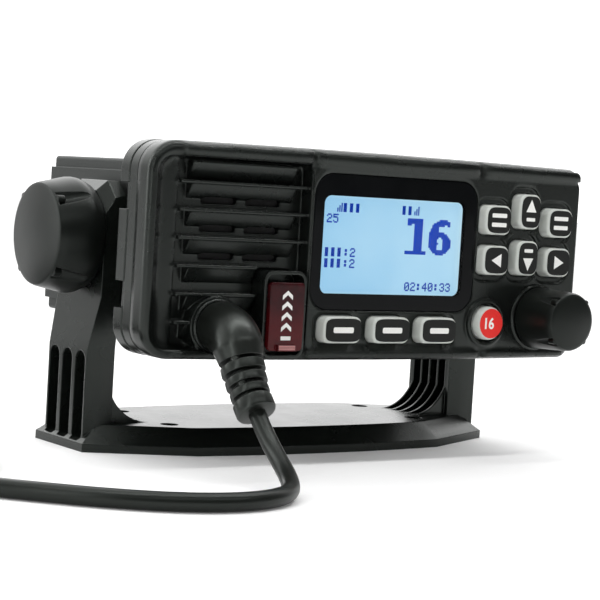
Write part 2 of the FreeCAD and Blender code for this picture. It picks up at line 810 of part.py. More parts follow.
def front_bezel():
    body = face_block(0, 0, bezel_depth)
    body = round_front(body, 0, face_edge)
    body = chamfer_at(body, bezel_depth, layer_groove)
    panel = plate(panel_left, zone_right, zone_low, zone_top + 0.5, zone_y, 1.5, 3.0)
    body = body.fuse([panel] + top_strips())
    body = body.cut(speaker_bay())
    solids = louvre_teeth()
    boss = rod((gland_x, 0.2, gland_z), Y_AXIS, gland_boss_radius, louvre_depth)
    red_ring = rod((red_x, zone_y - red_ring_proud, red_z), Y_AXIS, red_ring_radius, 2)
    body = body.fuse(solids + [boss, red_ring])
    # the hollow behind the skin, deeper over the speaker bay
    shell = face_block(wall, cavity_y, bezel_depth + 1)
    bay_wall = block(-half_w, louvre_right + skin, 0, bay_back, -half_h, half_h)
    tools = [shell.cut([bay_wall] + case_posts(0, bezel_depth))]
    # lens seat and window
    tools.append(plate(lens_left - lens_clearance, lens_left + lens_width + lens_clearance,
                       lens_low - lens_clearance, lens_low + lens_height + lens_clearance,
                       zone_y - 1, zone_y + lens_thickness, lens_corner + lens_clearance))
    tools.append(plate(window_left - 1, window_left + window_width + 1, window_low - 1,
                       window_low + window_height + 1, zone_y - 1, cavity_y + 1, window_corner + 1))
    # key recesses and openings
    recess = fuse([outline_plate(x, z, w, h, pad_corner, pad_margin, zone_y - 1, 0)
                   for name, x, z, w, h in key_list()])
    recess_left = lens_left + lens_width + lens_clearance + pad_ridge
    tools.append(recess.common(block(recess_left, half_w, zone_y - 2, 1, -half_h, half_h)))
    for name, x, z, w, h in key_list():
        tools.append(outline_plate(x, z, w, h, pad_corner, key_clearance, -2, cavity_y + 1))
    x0 = soft_centre_x - soft_pitch - soft_width / 2 - soft_margin
    x1 = soft_centre_x + soft_pitch + soft_width / 2 + soft_margin
    tools.append(plate(x0, x1, soft_z - soft_height / 2 - soft_margin, soft_z + soft_height / 2 + soft_margin * 0.6,
                       zone_y - 1, 0, soft_corner))
    for name, x, z, w, h in soft_key_list():
        tools.append(outline_plate(x, z, w, h, soft_corner, key_clearance, -2, cavity_y + 1))
    tools.append(rod((red_x, zone_y - red_ring_proud - 1, red_z), Y_AXIS, red_ring_radius - red_ring_wall,
                     red_ring_proud + 1 - zone_y * 1.0))
    tools.append(rod((red_x, -3, red_z), Y_AXIS, red_radius + key_clearance, 6))
    tools.append(rod((volume_x, -3, volume_z), Y_AXIS, bushing_radius + lens_clearance, 6))
    tools.append(rod((gland_x, -1, gland_z), Y_AXIS, gland_bore, bay_back + 2))
    tools.append(rod((gland_x, strip_y - 1, gland_z), Y_AXIS, gland_radius + gland_clearance, 1.2 - strip_y))
    tools.append(plate(alert_left - alert_clearance, alert_left + alert_width + alert_clearance,
                       alert_top - alert_height - alert_clearance, alert_top + alert_clearance,
                       strip_y - 1, bay_back + 1, alert_corner + alert_clearance))
    tools += sound_slots()
    for x, z in case_screw_places():
        tools.append(rod((x, case_screw_depth, z), Y_AXIS, screw_radius, bezel_depth))
    return body.cut(tools).removeSplitter()


def mid_frame():
    body = face_block(0.15, mid_y, flange_y)
    for y in (mid_y, flange_y):
        body = chamfer_at(body, y, layer_groove)
    hollow = face_block(wall, mid_y - 1, flange_y + 1)
    tools = [hollow.cut(case_posts(mid_y - 1, flange_y + 1))]
    tools += [rod((x, mid_y - 1, z), Y_AXIS, screw_radius + screw_clearance, mid_depth + 2)
              for x, z in case_screw_places()]
    return body.cut(tools)


def chassis_hollow_span():
    return chassis_half_width - chassis_wall, chassis_main_low + chassis_wall, chassis_main_top - chassis_wall


def speaker_relief():
    """The room that the loudspeaker's basket needs where it narrows towards the magnet."""
    front = bay_back + mesh_thickness
    c = speaker_clearance
    profile = [(0, 0), (speaker_radius + c, 0), (speaker_radius + c, speaker_rim + c),
               (magnet_radius + 1.5 + c, speaker_depth + c), (0, speaker_depth + c)]
    return turned(profile, (speaker_x, front, speaker_z), (0, 1, 0))


def rear_flange():
    body = face_block(0, flange_y, seal_y)
    for y in (flange_y, seal_y):
        body = chamfer_at(body, y, layer_groove)
    hx, z0, z1 = chassis_hollow_span()
    tools = [plate(-hx, hx, z0, z1, flange_y - 1, seal_y + 1, 3), speaker_relief()]
    for sx in (-1, 1):
        x0, x1 = sorted((sx * (half_w + 1), sx * (half_w - side_notch_depth)))
        for z in (side_notch_high, side_notch_low):
            tools.append(block(x0, x1, flange_y - 1, seal_y + 1, z - side_notch_height / 2,
                               z + side_notch_height / 2))
    for x, z in case_screw_places():
        tools.append(rod((x, flange_y - 1, z), Y_AXIS, screw_radius + screw_clearance, flange_depth + 2))
        tools.append(rod((x, seal_y - screw_head_height, z), Y_AXIS, screw_head_radius + screw_clearance,
                         screw_head_height + 1))
    return body.cut(tools)


def case_screws():
    screws = []
    for x, z in case_screw_places():
        head_y = seal_y - screw_head_height
        start = case_screw_depth + 0.4
        shank = rod((x, start, z), Y_AXIS, screw_radius, head_y - start + 0.1)
        screws.append(shank.fuse(rod((x, head_y, z), Y_AXIS, screw_head_radius, screw_head_height)).removeSplitter())
    return Part.makeCompound(screws)


# ------------------------------------------------------------------ chassis and what it holds
def chassis_profile():
    w, n = chassis_half_width, chassis_half_width - chassis_ledge
    right = [(n, chassis_low), (n, chassis_main_low), (w, chassis_main_low), (w, chassis_main_top),
             (n, chassis_main_top), (n, chassis_top)]
    points = right + [(-x, z) for x, z in reversed(right)]
    return polygon([(x, chassis_y, z) for x, z in points])


def chassis():
    body = chassis_profile().extrude(V(0, chassis_end - chassis_y, 0))
    long_edges = [e for e in body.Edges if e.BoundBox.YLength > 10
                  and (abs(e.BoundBox.ZMin - chassis_top) < 1e-4 or abs(e.BoundBox.ZMin - chassis_low) < 1e-4)]
    body = body.makeFillet(chassis_edge, long_edges)
    hx, z0, z1 = chassis_hollow_span()
    back = chassis_end - fin_depth - chassis_rear_wall
    hollow = block(-hx, hx, chassis_y - 1, back, z0, z1)
    keep = []
    for sx in (-1, 1):
        x0 = sx * chassis_half_width
        keep.append(rod((x0, axis_depth, axis_above_face), V(-sx, 0, 0), boss_radius, insert_length + 2))
    for x, y in board_post_places():
        keep.append(rod((x, y, z0 - 1), Z_AXIS, 3.2, board_post + 1))
    body = body.cut(hollow.cut(keep))
    tools = []
    gap = (fin_field - fin_thickness) / (fin_count - 1) - fin_thickness
    for i in range(fin_count - 1):
        x = -fin_field / 2 + fin_thickness + i * (gap + fin_thickness)
        tools.append(block(x, x + gap, chassis_end - fin_depth, chassis_end + 1, chassis_low - 1, chassis_top + 1))
    for sx in (-1, 1):
        x0 = sx * chassis_half_width
        tools.append(rod((x0, axis_depth, axis_above_face), V(-sx, 0, 0), insert_radius, insert_length))
        x_in, x_out = sorted((sx * fin_field / 2, sx * (chassis_half_width + 1)))
        tools.append(block(x_in, x_out, chassis_end - fin_depth + 2, chassis_end + 1, chassis_low - 1,
                           chassis_top + 1))
    for x, y in board_post_places():
        tools.append(rod((x, y, z0 + 1), Z_AXIS, screw_radius, board_post))
    tools.append(rod((socket_x, chassis_end - fin_depth - chassis_rear_wall - 1, socket_z), Y_AXIS,
                     socket_radius - 2, fin_depth))
    for x, z in rear_gland_places():
        tools.append(rod((x, chassis_end - fin_depth - chassis_rear_wall - 1, z), Y_AXIS,
                         rear_gland_radius - 1.6, fin_depth))
    return body.cut(tools).removeSplitter()


def rear_pad_y():
    return chassis_end - fin_depth + 2


def board_post_places():
    y0 = chassis_y + board_front_gap + 6
    return [(sx * (board_half_width - 5), y) for sx in (-1, 1) for y in (y0, y0 + board_length - 12)]


def board_level():
    return chassis_hollow_span()[1] + board_post


def main_board():
    y0 = chassis_y + board_front_gap
    z = board_level()
    board = block(-board_half_width, board_half_width, y0, y0 + board_length, z, z + board_thickness)
    top = z + board_thickness - 0.01
    coils = [rod((x, y0 + coil_row, top), Z_AXIS, coil_radius, coil_height) for x in coil_places]
    caps = [rod((x, y0 + capacitor_row, top), Z_AXIS, capacitor_radius, capacitor_height)
            for x in capacitor_places]
    holes = [rod((x, y, z - 1), Z_AXIS, screw_radius + screw_clearance, 4) for x, y in board_post_places()]
    return board.fuse(coils + caps).cut(holes)


def rf_shield():
    y0 = chassis_y + board_front_gap
    z = board_level() + board_thickness
    front, back = y0 + shield_margin, y0 + board_length - shield_margin
    t = shield_wall
    can = block(shield_left, shield_right, front, back, z, z + shield_height)
    return can.cut(block(shield_left + t, shield_right - t, front + t, back - t, z - 1, z + shield_height - t))


def board_screws():
    z = board_level() + board_thickness
    depth = board_post - 2
    return Part.makeCompound([rod((x, y, z - depth), Z_AXIS, screw_radius, depth + 0.01).fuse(
        rod((x, y, z), Z_AXIS, screw_head_radius, 1.6)).removeSplitter() for x, y in board_post_places()])


def power_module():
    hx, z0, z1 = chassis_hollow_span()
    back = chassis_end - fin_depth - chassis_rear_wall
    top = z1 - module_drop
    return block(-module_half_width, module_half_width, back - module_depth, back, top - module_height, top)


def chassis_inserts():
    items = []
    for sx in (-1, 1):
        centre = (sx * chassis_half_width, axis_depth, axis_above_face)
        items.append(ring(centre, V(-sx, 0, 0), insert_radius, stud_radius + shaft_clearance, insert_length))
    return Part.makeCompound(items)


def friction_washers():
    items = []
    for sx in (-1, 1):
        centre = (sx * chassis_half_width, axis_depth, axis_above_face)
        items.append(ring(centre, V(sx, 0, 0), washer_radius, stud_radius + stud_clearance + 0.1,
                          washer_thickness))
    return Part.makeCompound(items)


def case_seal():
    hx, z0, z1 = chassis_hollow_span()
    outer = plate(-hx - 2.2, hx + 2.2, z0 - 2.2, z1 + 2.2, seal_y, chassis_y, 4)
    return outer.cut(plate(-hx, hx, z0, z1, seal_y - 1, chassis_y + 1, 3))


def antenna_socket():
    y = rear_pad_y()
    half = socket_flange / 2
    flange = plate(socket_x - half, socket_x + half, socket_z - half, socket_z + half, y,
                   y + socket_flange_thickness, 2.5)
    barrel = rod((socket_x, y, socket_z), Y_AXIS, socket_radius, socket_length)
    stem = rod((socket_x, y - chassis_rear_wall - 3, socket_z), Y_AXIS, socket_radius - 2.2,
               chassis_rear_wall + 3.01)
    whole = flange.fuse([barrel, stem])
    mouth = ring((socket_x, y + socket_length - 9, socket_z), Y_AXIS, socket_radius - 1.4, 4.2, 10)
    bore = rod((socket_x, y + socket_length - 12, socket_z), Y_AXIS, 2.0, 13)
    return whole.cut([mouth, bore])


def rear_gland_places():
    return [(rear_gland_x, axis_above_face + s * rear_gland_pitch / 2) for s in (-1, 1)]


def rear_glands():
    y = rear_pad_y()
    items = []
    for x, z in rear_gland_places():
        r, n = rear_gland_radius, rear_gland_length
        stem = rear_gland_radius - 1.8
        profile = [(0, -chassis_rear_wall - 1), (stem, -chassis_rear_wall - 1), (stem, 0), (r, 0), (r, 2),
                   (r * 0.72, n), (0, n)]
        items.append(turned(profile, (x, y, z), (0, 1, 0)))
    return Part.makeCompound(items)


# ------------------------------------------------------------------ display, speaker, boards
def display_lens():
    lens = plate(lens_left, lens_left + lens_width, lens_low, lens_low + lens_height, zone_y,
                 zone_y + lens_thickness, lens_corner)
    return chamfer_at(lens, zone_y, 0.3)


def lcd_box(y0, y1, grow):
    return block(window_left - grow, window_left + window_width + grow, y0, y1,
                 window_low - grow, window_low + window_height + grow)


def lcd_panel():
    return lcd_box(cavity_y, cavity_y + lcd_thickness, lcd_border)


def lcd_backlight():
    y0 = cavity_y + lcd_thickness
    back = lcd_box(y0, board_y, lcd_border)
    tabs = [block(x - 2, x + 2, y0, board_y, window_low + window_height + lcd_border,
                  window_low + window_height + lcd_border + 2.4) for x in (-12, 22)]
    return back.fuse(tabs).removeSplitter()


def front_board():
    x1 = inside_right
    low = gland_z - gland_bore + 1
    board = block(panel_left + skin + 1.2, x1, board_y, board_y + board_thickness, low, half_h - wall - 3)
    chips = [block(x, x + 9, board_y + board_thickness - 0.01, board_y + board_thickness + 1.4, -6, 4)
             for x in (-8, 12)]
    tools = case_posts(0, flange_y, board_clearance) + [speaker_relief()]
    return board.fuse(chips).cut(tools).removeSplitter()


def key_mat():
    """Rubber sheet with a raised pill under each pad key and soft key."""
    y0, y1 = mat_y, mat_y + mat_thickness
    x_left = window_left + window_width + lcd_border + 1.6
    x_right = inside_right
    right_part = block(x_left, x_right, y0, y1, red_z - red_radius, pad_mid_high_z + pad_mid_height / 2)
    low_top = window_low - lcd_border - 1.2
    soft_left = soft_centre_x - soft_pitch - soft_width / 2
    low_part = block(soft_left, x_left + 0.01, y0, y1, soft_z - soft_height / 2, low_top)
    pills = []
    for name, x, z, w, h in key_list() + soft_key_list():
        pills.append(rod((x, y0 - mat_gap + key_travel * 1.1, z), Y_AXIS, 2.6, mat_gap))
    pills.append(rod((red_x, y0 - mat_gap + key_travel * 1.1, red_z), Y_AXIS, 2.6, mat_gap))
    hole = rod((volume_x, y0 - 1, volume_z), Y_AXIS, encoder_size * 0.72, mat_thickness + 2)
    return right_part.fuse([low_part] + pills).cut([hole] + case_posts(0, flange_y, board_clearance)).removeSplitter()


def speaker_parts():
    y = bay_back + mesh_thickness
    c = (speaker_x, y, speaker_z)
    r = speaker_radius
    t = 1.0
    frame = [(r - 3, 0), (r, 0), (r, speaker_rim), (magnet_radius + 1.5, speaker_depth),
             (magnet_radius - 3, speaker_depth), (magnet_radius - 3, speaker_depth - t),
             (magnet_radius + 0.6, speaker_depth - t), (r - 3, speaker_rim)]
    cone = [(0, speaker_depth - 3.4), (magnet_radius - 4, speaker_depth - 3.4), (r - 3.2, 0.2), (r - 3.2, 1.0),
            (magnet_radius - 4, speaker_depth - 2.4), (0, speaker_depth - 2.4)]
    magnet = [(0, speaker_depth), (magnet_radius, speaker_depth), (magnet_radius, speaker_depth + magnet_depth),
              (0, speaker_depth + magnet_depth)]
    return [turned(p, c, (0, 1, 0)) for p in (frame, cone, magnet)]


def speaker_mesh():
    return plate(louvre_left + 1, louvre_right - 1, gland_z + gland_bore + 3.4, bay_top - 1.4, bay_back,
                 bay_back + mesh_thickness, 2).cut(
        block(alert_left - 2, louvre_right + 1, bay_back - 1, bay_back + 2, -half_h, alert_top + 2))


# ------------------------------------------------------------------ volume control
def volume_ring():
    y = zone_y - volume_ring_thickness
    r, t = volume_ring_radius, volume_ring_thickness
    inner = bushing_radius + 0.8
    profile = [(inner, 0.3), (r - 1.2, 0.3), (r - 1.0, 0.0), (r - 0.5, 0.0), (r, 0.5), (r, t), (inner, t)]
    return turned(profile, (volume_x, y, volume_z), (0, 1, 0))


def grip_tools(centre, direction, length, radius, size):
    """Four tapered scallops, deepest at the front rim, and the four small nubs beside them."""
    scallops, nubs = [], []
    d = V(*direction)
    side = d.cross(Z_AXIS)
    for i in range(grip_count):
        angle = math.radians(45 + i * 360.0 / grip_count)
        out = side * math.cos(angle) + Z_AXIS * math.sin(angle)
        start = V(*centre) + d * (length * 0.96) + out * (radius + size * 0.30)
        end = V(*centre) + d * (length * 0.22) + out * (radius + size * 1.1)
        run = end - start
        scallops.append(Part.makeCone(size, size * 0.55, run.Length, start, run))
        tip = V(*centre) + d * (length * 0.80) + out * (radius - size * 0.34)
        nubs.append(rod(tuple(tip), d, size * 0.46, length * 0.15))
    return scallops, nubs


def volume_knob():
    """Turned barrel with a round front edge, four grips and a D bore. Local along is forward."""
    y_back = zone_y - volume_ring_thickness - volume_gap
    centre = (volume_x, y_back, volume_z)
    rb, rf, n = volume_base_radius, volume_front_radius, volume_length
    profile = [(0, 0), (rb - volume_back_edge, 0), (rb, volume_back_edge)]
    profile += eased_rim(rf, n, volume_front_edge) + [(0, n)]
    body = turned(profile, centre, (0, -1, 0))
    scallops, nubs = grip_tools(centre, (0, -1, 0), n, rf, 2.1)
    body = body.cut(scallops).fuse(nubs)
    bore = rod(centre, V(0, -1, 0), shaft_radius, knob_bore_depth)
    flat = block(volume_x - 5, volume_x + 5, y_back - knob_bore_depth - 1, y_back + 1,
                 volume_z + shaft_radius - shaft_flat, volume_z + 5)
    skirt = ring((volume_x, y_back + 0.01, volume_z), V(0, -1, 0), rb - 1.6, shaft_radius + 2.0, n * 0.42)
    return body.cut([bore.cut(flat), skirt]).removeSplitter()


def encoder_places():
    y_body = board_y - encoder_depth
    return y_body, zone_y - volume_ring_thickness + 0.2


def encoder_shaft():
    y_back = zone_y - volume_ring_thickness - volume_gap
    y_body, y_front = encoder_places()
    start = y_back - knob_bore_depth
    shaft = rod((volume_x, start, volume_z), Y_AXIS, shaft_radius, y_body + 2.6 - start)
    flat = block(volume_x - 5, volume_x + 5, start - 1, y_back, volume_z + shaft_radius - shaft_flat, volume_z + 5)
    return shaft.cut(flat)


def volume_encoder():
    y_body, y_front = encoder_places()
    h = encoder_size / 2
    body = block(volume_x - h, volume_x + h, y_body, board_y, volume_z - h, volume_z + h)
    bushing = rod((volume_x, y_front, volume_z), Y_AXIS, bushing_radius, y_body - y_front + 0.01)
    bore = rod((volume_x, y_front - 1, volume_z), Y_AXIS, shaft_radius + shaft_clearance, y_body + 3 - y_front + 1)
    return body.fuse(bushing).cut(bore).removeSplitter()


# ------------------------------------------------------------------ guarded alert key
def alert_box(grow, y0, y1, corner):
    return plate(alert_left - grow, alert_left + alert_width + grow, alert_top - alert_height - grow,
                 alert_top + grow, y0, y1, corner)


def alert_housing():
    front = zone_y - alert_proud + 0.4
    body = alert_box(0, front, bay_back + mesh_thickness, alert_corner)
    lip = alert_box(alert_lip, bay_back, bay_back + mesh_thickness, alert_corner + alert_lip)
    floor = -half_h + wall + lens_clearance
    body = body.fuse(lip.common(block(-half_w, half_w, 0, 2 * bay_back, floor, half_h)))
    pocket = alert_box(-alert_rim, front - 1, alert_floor, alert_corner - alert_rim)
    x = alert_left + alert_width / 2
    w, h = alert_key_width / 2 + key_clearance, alert_key_height / 2 + key_clearance
    z = alert_key_z()
    shaft_hole = plate(x - w, x + w, z - h, z + h, alert_floor - 1, bay_back + 2, 1.4)
    pin = rod((alert_left - 1, cover_pin_y, cover_pin_z), X_AXIS, cover_pin_radius, alert_width + 2)
    pin = pin.common(block(alert_left + alert_rim * 0.4, alert_left + alert_width - alert_rim * 0.4,
                           cover_pin_y - 2, cover_pin_y + 2, cover_pin_z - 2, cover_pin_z + 2))
    return body.cut([pocket, shaft_hole, pin]).removeSplitter()


def alert_hinge_pin():
    x0 = alert_left + alert_rim * 0.4
    return rod((x0, cover_pin_y, cover_pin_z), X_AXIS, cover_pin_radius, alert_width - alert_rim * 0.8)


def alert_cover():
    """Hinged guard: a plate with round lower corners, a barrel at the top and a finger tab."""
    x0 = alert_left + alert_rim + cover_clearance
    x1 = alert_left + alert_width - alert_rim - cover_clearance
    y0 = cover_y
    y1 = y0 + cover_thickness
    panel = plate(x0, x1, cover_bottom, cover_top, y0, y1, 1.2)
    panel = round_front(panel, y0, 0.35)
    barrel = rod((x0, cover_pin_y, cover_pin_z), X_AXIS, cover_barrel_radius, x1 - x0)
    arm = block(x0, x1, y1 - 0.4, cover_pin_y, cover_pin_z - 0.9, cover_pin_z + 0.9)
    xm = (x0 + x1) / 2
    tab = block(xm - cover_tab_width / 2, xm + cover_tab_width / 2, y0 - cover_tab_proud, y1 - 0.2,
                cover_bottom, cover_bottom + cover_tab_height)
    sides = [block(a, a + 0.9, y1 - 0.3, y1 + 1.5, cover_bottom + 1.4, cover_top - 1) for a in (x0, x1 - 0.9)]
    whole = panel.fuse([barrel, arm, tab] + sides)
    bore = rod((x0 - 1, cover_pin_y, cover_pin_z), X_AXIS, cover_pin_radius + shaft_clearance, x1 - x0 + 2)
    return whole.cut(bore).removeSplitter()


def alert_key_z():
    return (cover_top + cover_bottom) / 2 - 2.2


def alert_button():
    x = alert_left + alert_width / 2
    w, h = alert_key_width / 2, alert_key_height / 2
    z = alert_key_z()
    body = plate(x - w, x + w, z - h, z + h, alert_floor - alert_key_proud, bay_back + 1.0, 1.2)
    body = round_front(body, alert_floor - alert_key_proud, 0.6)
    lip = plate(x - w - 0.8, x + w + 0.8, z - h - 0.8, z + h + 0.8, bay_back + 1.0, bay_back + 1.6, 1.6)
    return body.fuse(lip).removeSplitter()


# ------------------------------------------------------------------ cord gland and elbow boot
def mic_gland_ring():
    r, t = gland_radius, gland_ring_thickness
    inner = gland_bore + 0.4
    profile = [(inner, 0), (r - 1.4, 0), (r - 1.0, 0.35), (r - 0.4, 0.35), (r, 0.7), (r, t), (inner, t)]
    return turned(profile, (gland_x, 0.2 - t, gland_z), (0, 1, 0))


def boot_path(along):
    """Point and direction on the boot's centre line, measured from the front of the gland ring."""
    y, z, angle = 0.2 - gland_ring_thickness, gland_z, 0.0
    legs = ((elbow_lead, 0), (elbow_bend * math.radians(elbow_turn), math.radians(elbow_turn)),
            (elbow_tail, 0), (relief_length, -math.radians(relief_turn)))
    for length, turn in legs:
        run = min(along, length)
        if turn:
            radius = length / turn
            swept = angle + turn * run / length
            y -= radius * (math.sin(swept) - math.sin(angle))
            z -= radius * (math.cos(angle) - math.cos(swept))
            angle = swept
        else:
            y -= run * math.cos(angle)
            z -= run * math.sin(angle)
        along -= run
        if along <= 0:
            break
    return V(gland_x, y, z), V(0, -math.cos(angle), -math.sin(angle))


def elbow_length():
    return elbow_lead + elbow_bend * math.radians(elbow_turn) + elbow_tail


def relief_end():
    """Where the cord leaves the relief, and in which direction, in the radio's frame."""
    return boot_path(elbow_length() + relief_length)


def collar(start, length, radius, end_edge):
    """A short round collar on the boot's centre line; its far rim is eased by end_edge."""
    point, direction = boot_path(start + length)
    base = point - direction * length
    profile = [(0, 0), (radius - collar_edge, 0), (radius, collar_edge)]
    profile += eased_rim(radius, length, end_edge) + [(0, length)]
    return turned(profile, tuple(base), tuple(direction))


def boot_bend(start, length, turn, radius):
    """A round bar bent through an arc that starts at a place on the boot's centre line."""
    point, direction = boot_path(start)
    side = X_AXIS.cross(direction) * (1 if turn > 0 else -1)
    centre = point + side * abs(length / turn)
    section = Part.Face(Part.Wire([Part.makeCircle(radius, point, direction)]))
    return section.revolve(centre, X_AXIS, math.degrees(turn))


def mic_elbow_boot():
    start, direction = boot_path(0)
    turn = math.radians(elbow_turn)
    bend = elbow_bend * turn
    lead = rod(tuple(start), direction, elbow_radius, elbow_lead)
    point, direction = boot_path(elbow_lead + bend)
    tail = Part.makeCone(elbow_radius, elbow_end_radius, elbow_tail, point, direction)
    elbow = lead.fuse([boot_bend(elbow_lead, bend, turn, elbow_radius), tail])
    # collars on a thinner core, and webs that join neighbouring collars on opposite sides in turn
    radii = relief_collar_radii + (relief_end_radius,)
    lengths = relief_collar_lengths + (relief_end_length,)
    edges = (collar_edge,) * len(relief_collar_radii) + (relief_end_edge,)
    start = elbow_length()
    pieces = []
    for i, (radius, length, edge) in enumerate(zip(radii, lengths, edges)):
        point, direction = boot_path(start - relief_overlap)
        reach = relief_groove + 2 * relief_overlap
        pieces.append(rod(tuple(point), direction, relief_core, reach))
        front = direction.cross(X_AXIS)
        side = (X_AXIS * 0.8 - front * 0.6) * (1 if i % 2 else -1)
        pieces.append(rod(tuple(point + side * (radius - relief_web - 0.3)), direction, relief_web, reach))
        pieces.append(collar(start + relief_groove, length, radius, edge))
        start += relief_groove + length
    stub = rod((gland_x, 0.2 - gland_ring_thickness - 0.01, gland_z), Y_AXIS, gland_bore - gland_clearance,
               bay_back + 0.6)
    return elbow.fuse([stub] + pieces).removeSplitter()


# ------------------------------------------------------------------ gimbal knobs
def gimbal_knob_right():
    x0 = head_x + knob_seat_gap
    centre = (x0, 0, axis_height)
    n = knob_length
    wide, front, back = knob_wide_radius, knob_front_radius, knob_back_radius
    half = knob_wide_band / 2
    profile = [(0, 0), (back - knob_back_edge, 0), (back, knob_back_edge), (wide - 0.2, knob_wide_place - half),
               (wide, knob_wide_place), (wide - 0.1, knob_wide_place + half)]
    profile += eased_rim(front, n, knob_front_edge) + [(0, n)]
    body = turned(profile, centre, (1, 0, 0))
    scallops, nubs = grip_tools(centre, (1, 0, 0), n, front + 0.3, 3.0)
    body = body.cut(scallops).fuse(nubs)
    socket = rod(centre, X_AXIS, stud_radius, stud_grip)
    return body.cut(socket).removeSplitter()


def gimbal_stud_right():
    x1 = head_x + knob_seat_gap + stud_grip
    x0 = chassis_half_width - insert_length + 1
    stud = rod((x0, 0, axis_height), X_AXIS, stud_radius, x1 - x0)
    return stud.makeChamfer(0.5, [e for e in stud.Edges if abs(e.BoundBox.XMin - x0) < 1e-4
                                  and abs(e.BoundBox.XMax - x0) < 1e-4])


# ------------------------------------------------------------------ fist microphone
def mic_outline(inset, z0, z1):
    """The microphone's plan: narrow at the boot, wide and round at the far end."""
    y0 = mic_boot_length + inset
    y1 = mic_boot_length + mic_length - inset
    low, high = mic_low_width / 2 - inset, mic_high_width / 2 - inset
    y_wide = mic_boot_length + mic_length * 0.68
    p = [V(-low, y0, z0), V(low, y0, z0), V(high, y_wide, z0), V(high, y1 - 3, z0), V(-high, y1 - 3, z0),
         V(-high, y_wide, z0)]
    edges = [Part.LineSegment(a, b).toShape() for a, b in ((p[0], p[1]), (p[1], p[2]), (p[2], p[3]))]
    edges.append(Part.Arc(p[3], V(0, y1, z0), p[4]).toShape())
    edges += [Part.LineSegment(a, b).toShape() for a, b in ((p[4], p[5]), (p[5], p[0]))]
    solid = Part.Face(Part.Wire(edges)).extrude(V(0, 0, z1 - z0))
    upright = [e for e in solid.Edges if abs(e.BoundBox.ZLength - (z1 - z0)) < 1e-4
               and e.BoundBox.XLength < 1e-4 and e.BoundBox.YLength < 1e-4]
    return solid.makeFillet(max(mic_corner - inset, 1.0), upright)


def at_mic(shape):
    moved = shape.copy()
    moved.translate(V(mic_x, mic_y, 0))
    return moved


def mic_split():
    return mic_back_depth


def mic_top():
    return mic_back_depth + mic_front_depth


def round_level(solid, z, radius):
    edges = [e for e in solid.Edges
             if abs(e.BoundBox.ZMin - z) < 1e-4 and abs(e.BoundBox.ZMax - z) < 1e-4]
    return solid.makeFillet(radius, edges)


def talk_span():
    y0 = mic_boot_length + mic_length * 0.68 - 2
    x_side = -mic_high_width / 2
    return x_side, y0 - talk_length / 2 + 4, y0 + talk_length / 2 - 6


def talk_pocket():
    x, y0, y1 = talk_span()
    zc = mic_split()
    h = talk_height / 2 + talk_clearance
    deep = talk_thickness - talk_proud + talk_travel + talk_clearance
    return block(x - 6, x + deep, y0 - talk_clearance, y1 + talk_clearance, zc - h, zc + h)


def mic_talk_bar():
    x, y0, y1 = talk_span()
    zc = mic_split()
    h = talk_height / 2
    bar = block(x - talk_proud, x + talk_thickness - talk_proud, y0, y1, zc - h, zc + h)
    long_edges = [e for e in bar.Edges if e.BoundBox.XMax < x - talk_proud + 1e-3]
    return bar.makeFillet(1.8, long_edges)


def mic_screw_places():
    low = [(sx * mic_screw_x, mic_boot_length + mic_screw_low) for sx in (-1, 1)]
    return low + [(0, mic_boot_length + mic_length - mic_screw_high)]


def mic_key_places():
    y = mic_boot_length + mic_length - mic_key_inset
    return [(s * mic_key_pitch / 2, y) for s in (-1, 1)]


def mic_boot_hole():
    return rod((0, mic_boot_length - 6, mic_axis_height), Y_AXIS, mic_boot_radius - 1.2, 9)


def mic_rear_shell():
    body = round_level(mic_outline(0, 0, mic_split()), 0, mic_round)
    hollow = mic_outline(mic_wall, mic_wall, mic_split() + 1)
    y_hang = mic_boot_length + mic_length * 0.55
    keep = [rod((0, y_hang, 0), Z_AXIS, hang_recess_radius + 1.6, hang_recess_depth + 1.8)]
    keep += [rod((x, y, 0), Z_AXIS, mic_post_radius, mic_split()) for x, y in mic_screw_places()]
    x, y0, y1 = talk_span()
    keep.append(block(x, x + talk_thickness + 2.4, y0 - 2, y1 + 2, 0, mic_split()))
    body = body.cut(hollow.cut(keep))
    tools = [talk_pocket(), mic_boot_hole(), rod((0, y_hang, -1), Z_AXIS, hang_recess_radius, hang_recess_depth + 1)]
    for x, y in mic_screw_places():
        tools.append(rod((x, y, -1), Z_AXIS, screw_head_radius + screw_clearance,
                         mic_screw_sink + screw_head_height + 1))
        tools.append(rod((x, y, -1), Z_AXIS, screw_radius + screw_clearance, mic_split() + 2))
    tools.append(rod((0, y_hang, 0), Z_AXIS, 1.6, hang_recess_depth + 3))
    return body.cut(tools).removeSplitter()


def mic_front_shell():
    z0, z1 = mic_split(), mic_top()
    body = round_level(mic_outline(0, z0, z1), z1, mic_round)
    hollow = mic_outline(mic_wall, z0 - 1, z1 - mic_wall)
    keep = [rod((x, y, z0), Z_AXIS, mic_post_radius, mic_front_depth) for x, y in mic_screw_places()]
    x, y0, y1 = talk_span()
    keep.append(block(x, x + talk_thickness + 2.4, y0 - 2, y1 + 2, z0, z0 + talk_height / 2 + 2))
    body = body.cut(hollow.cut(keep))
    tools = [talk_pocket(), mic_boot_hole()]
    for x, y in mic_screw_places():
        tools.append(rod((x, y, z0 - 1), Z_AXIS, screw_radius, 8))
    for x, y in mic_key_places():
        w, h = mic_key_width / 2 + key_clearance, mic_key_height / 2 + key_clearance
        tools.append(block(x - w, x + w, y - h, y + h, z1 - mic_wall - 1, z1 + 1))
    y_mid = mic_boot_length + mic_length * mic_slot_place
    for i in range(mic_slot_count):
        y = y_mid + (i - (mic_slot_count - 1) / 2) * mic_slot_pitch
        half = mic_slot_length / 2
        tools.append(block(-half, half, y - mic_slot_width / 2, y + mic_slot_width / 2, z1 - mic_wall - 1, z1 + 1))
    return body.cut(tools).removeSplitter()


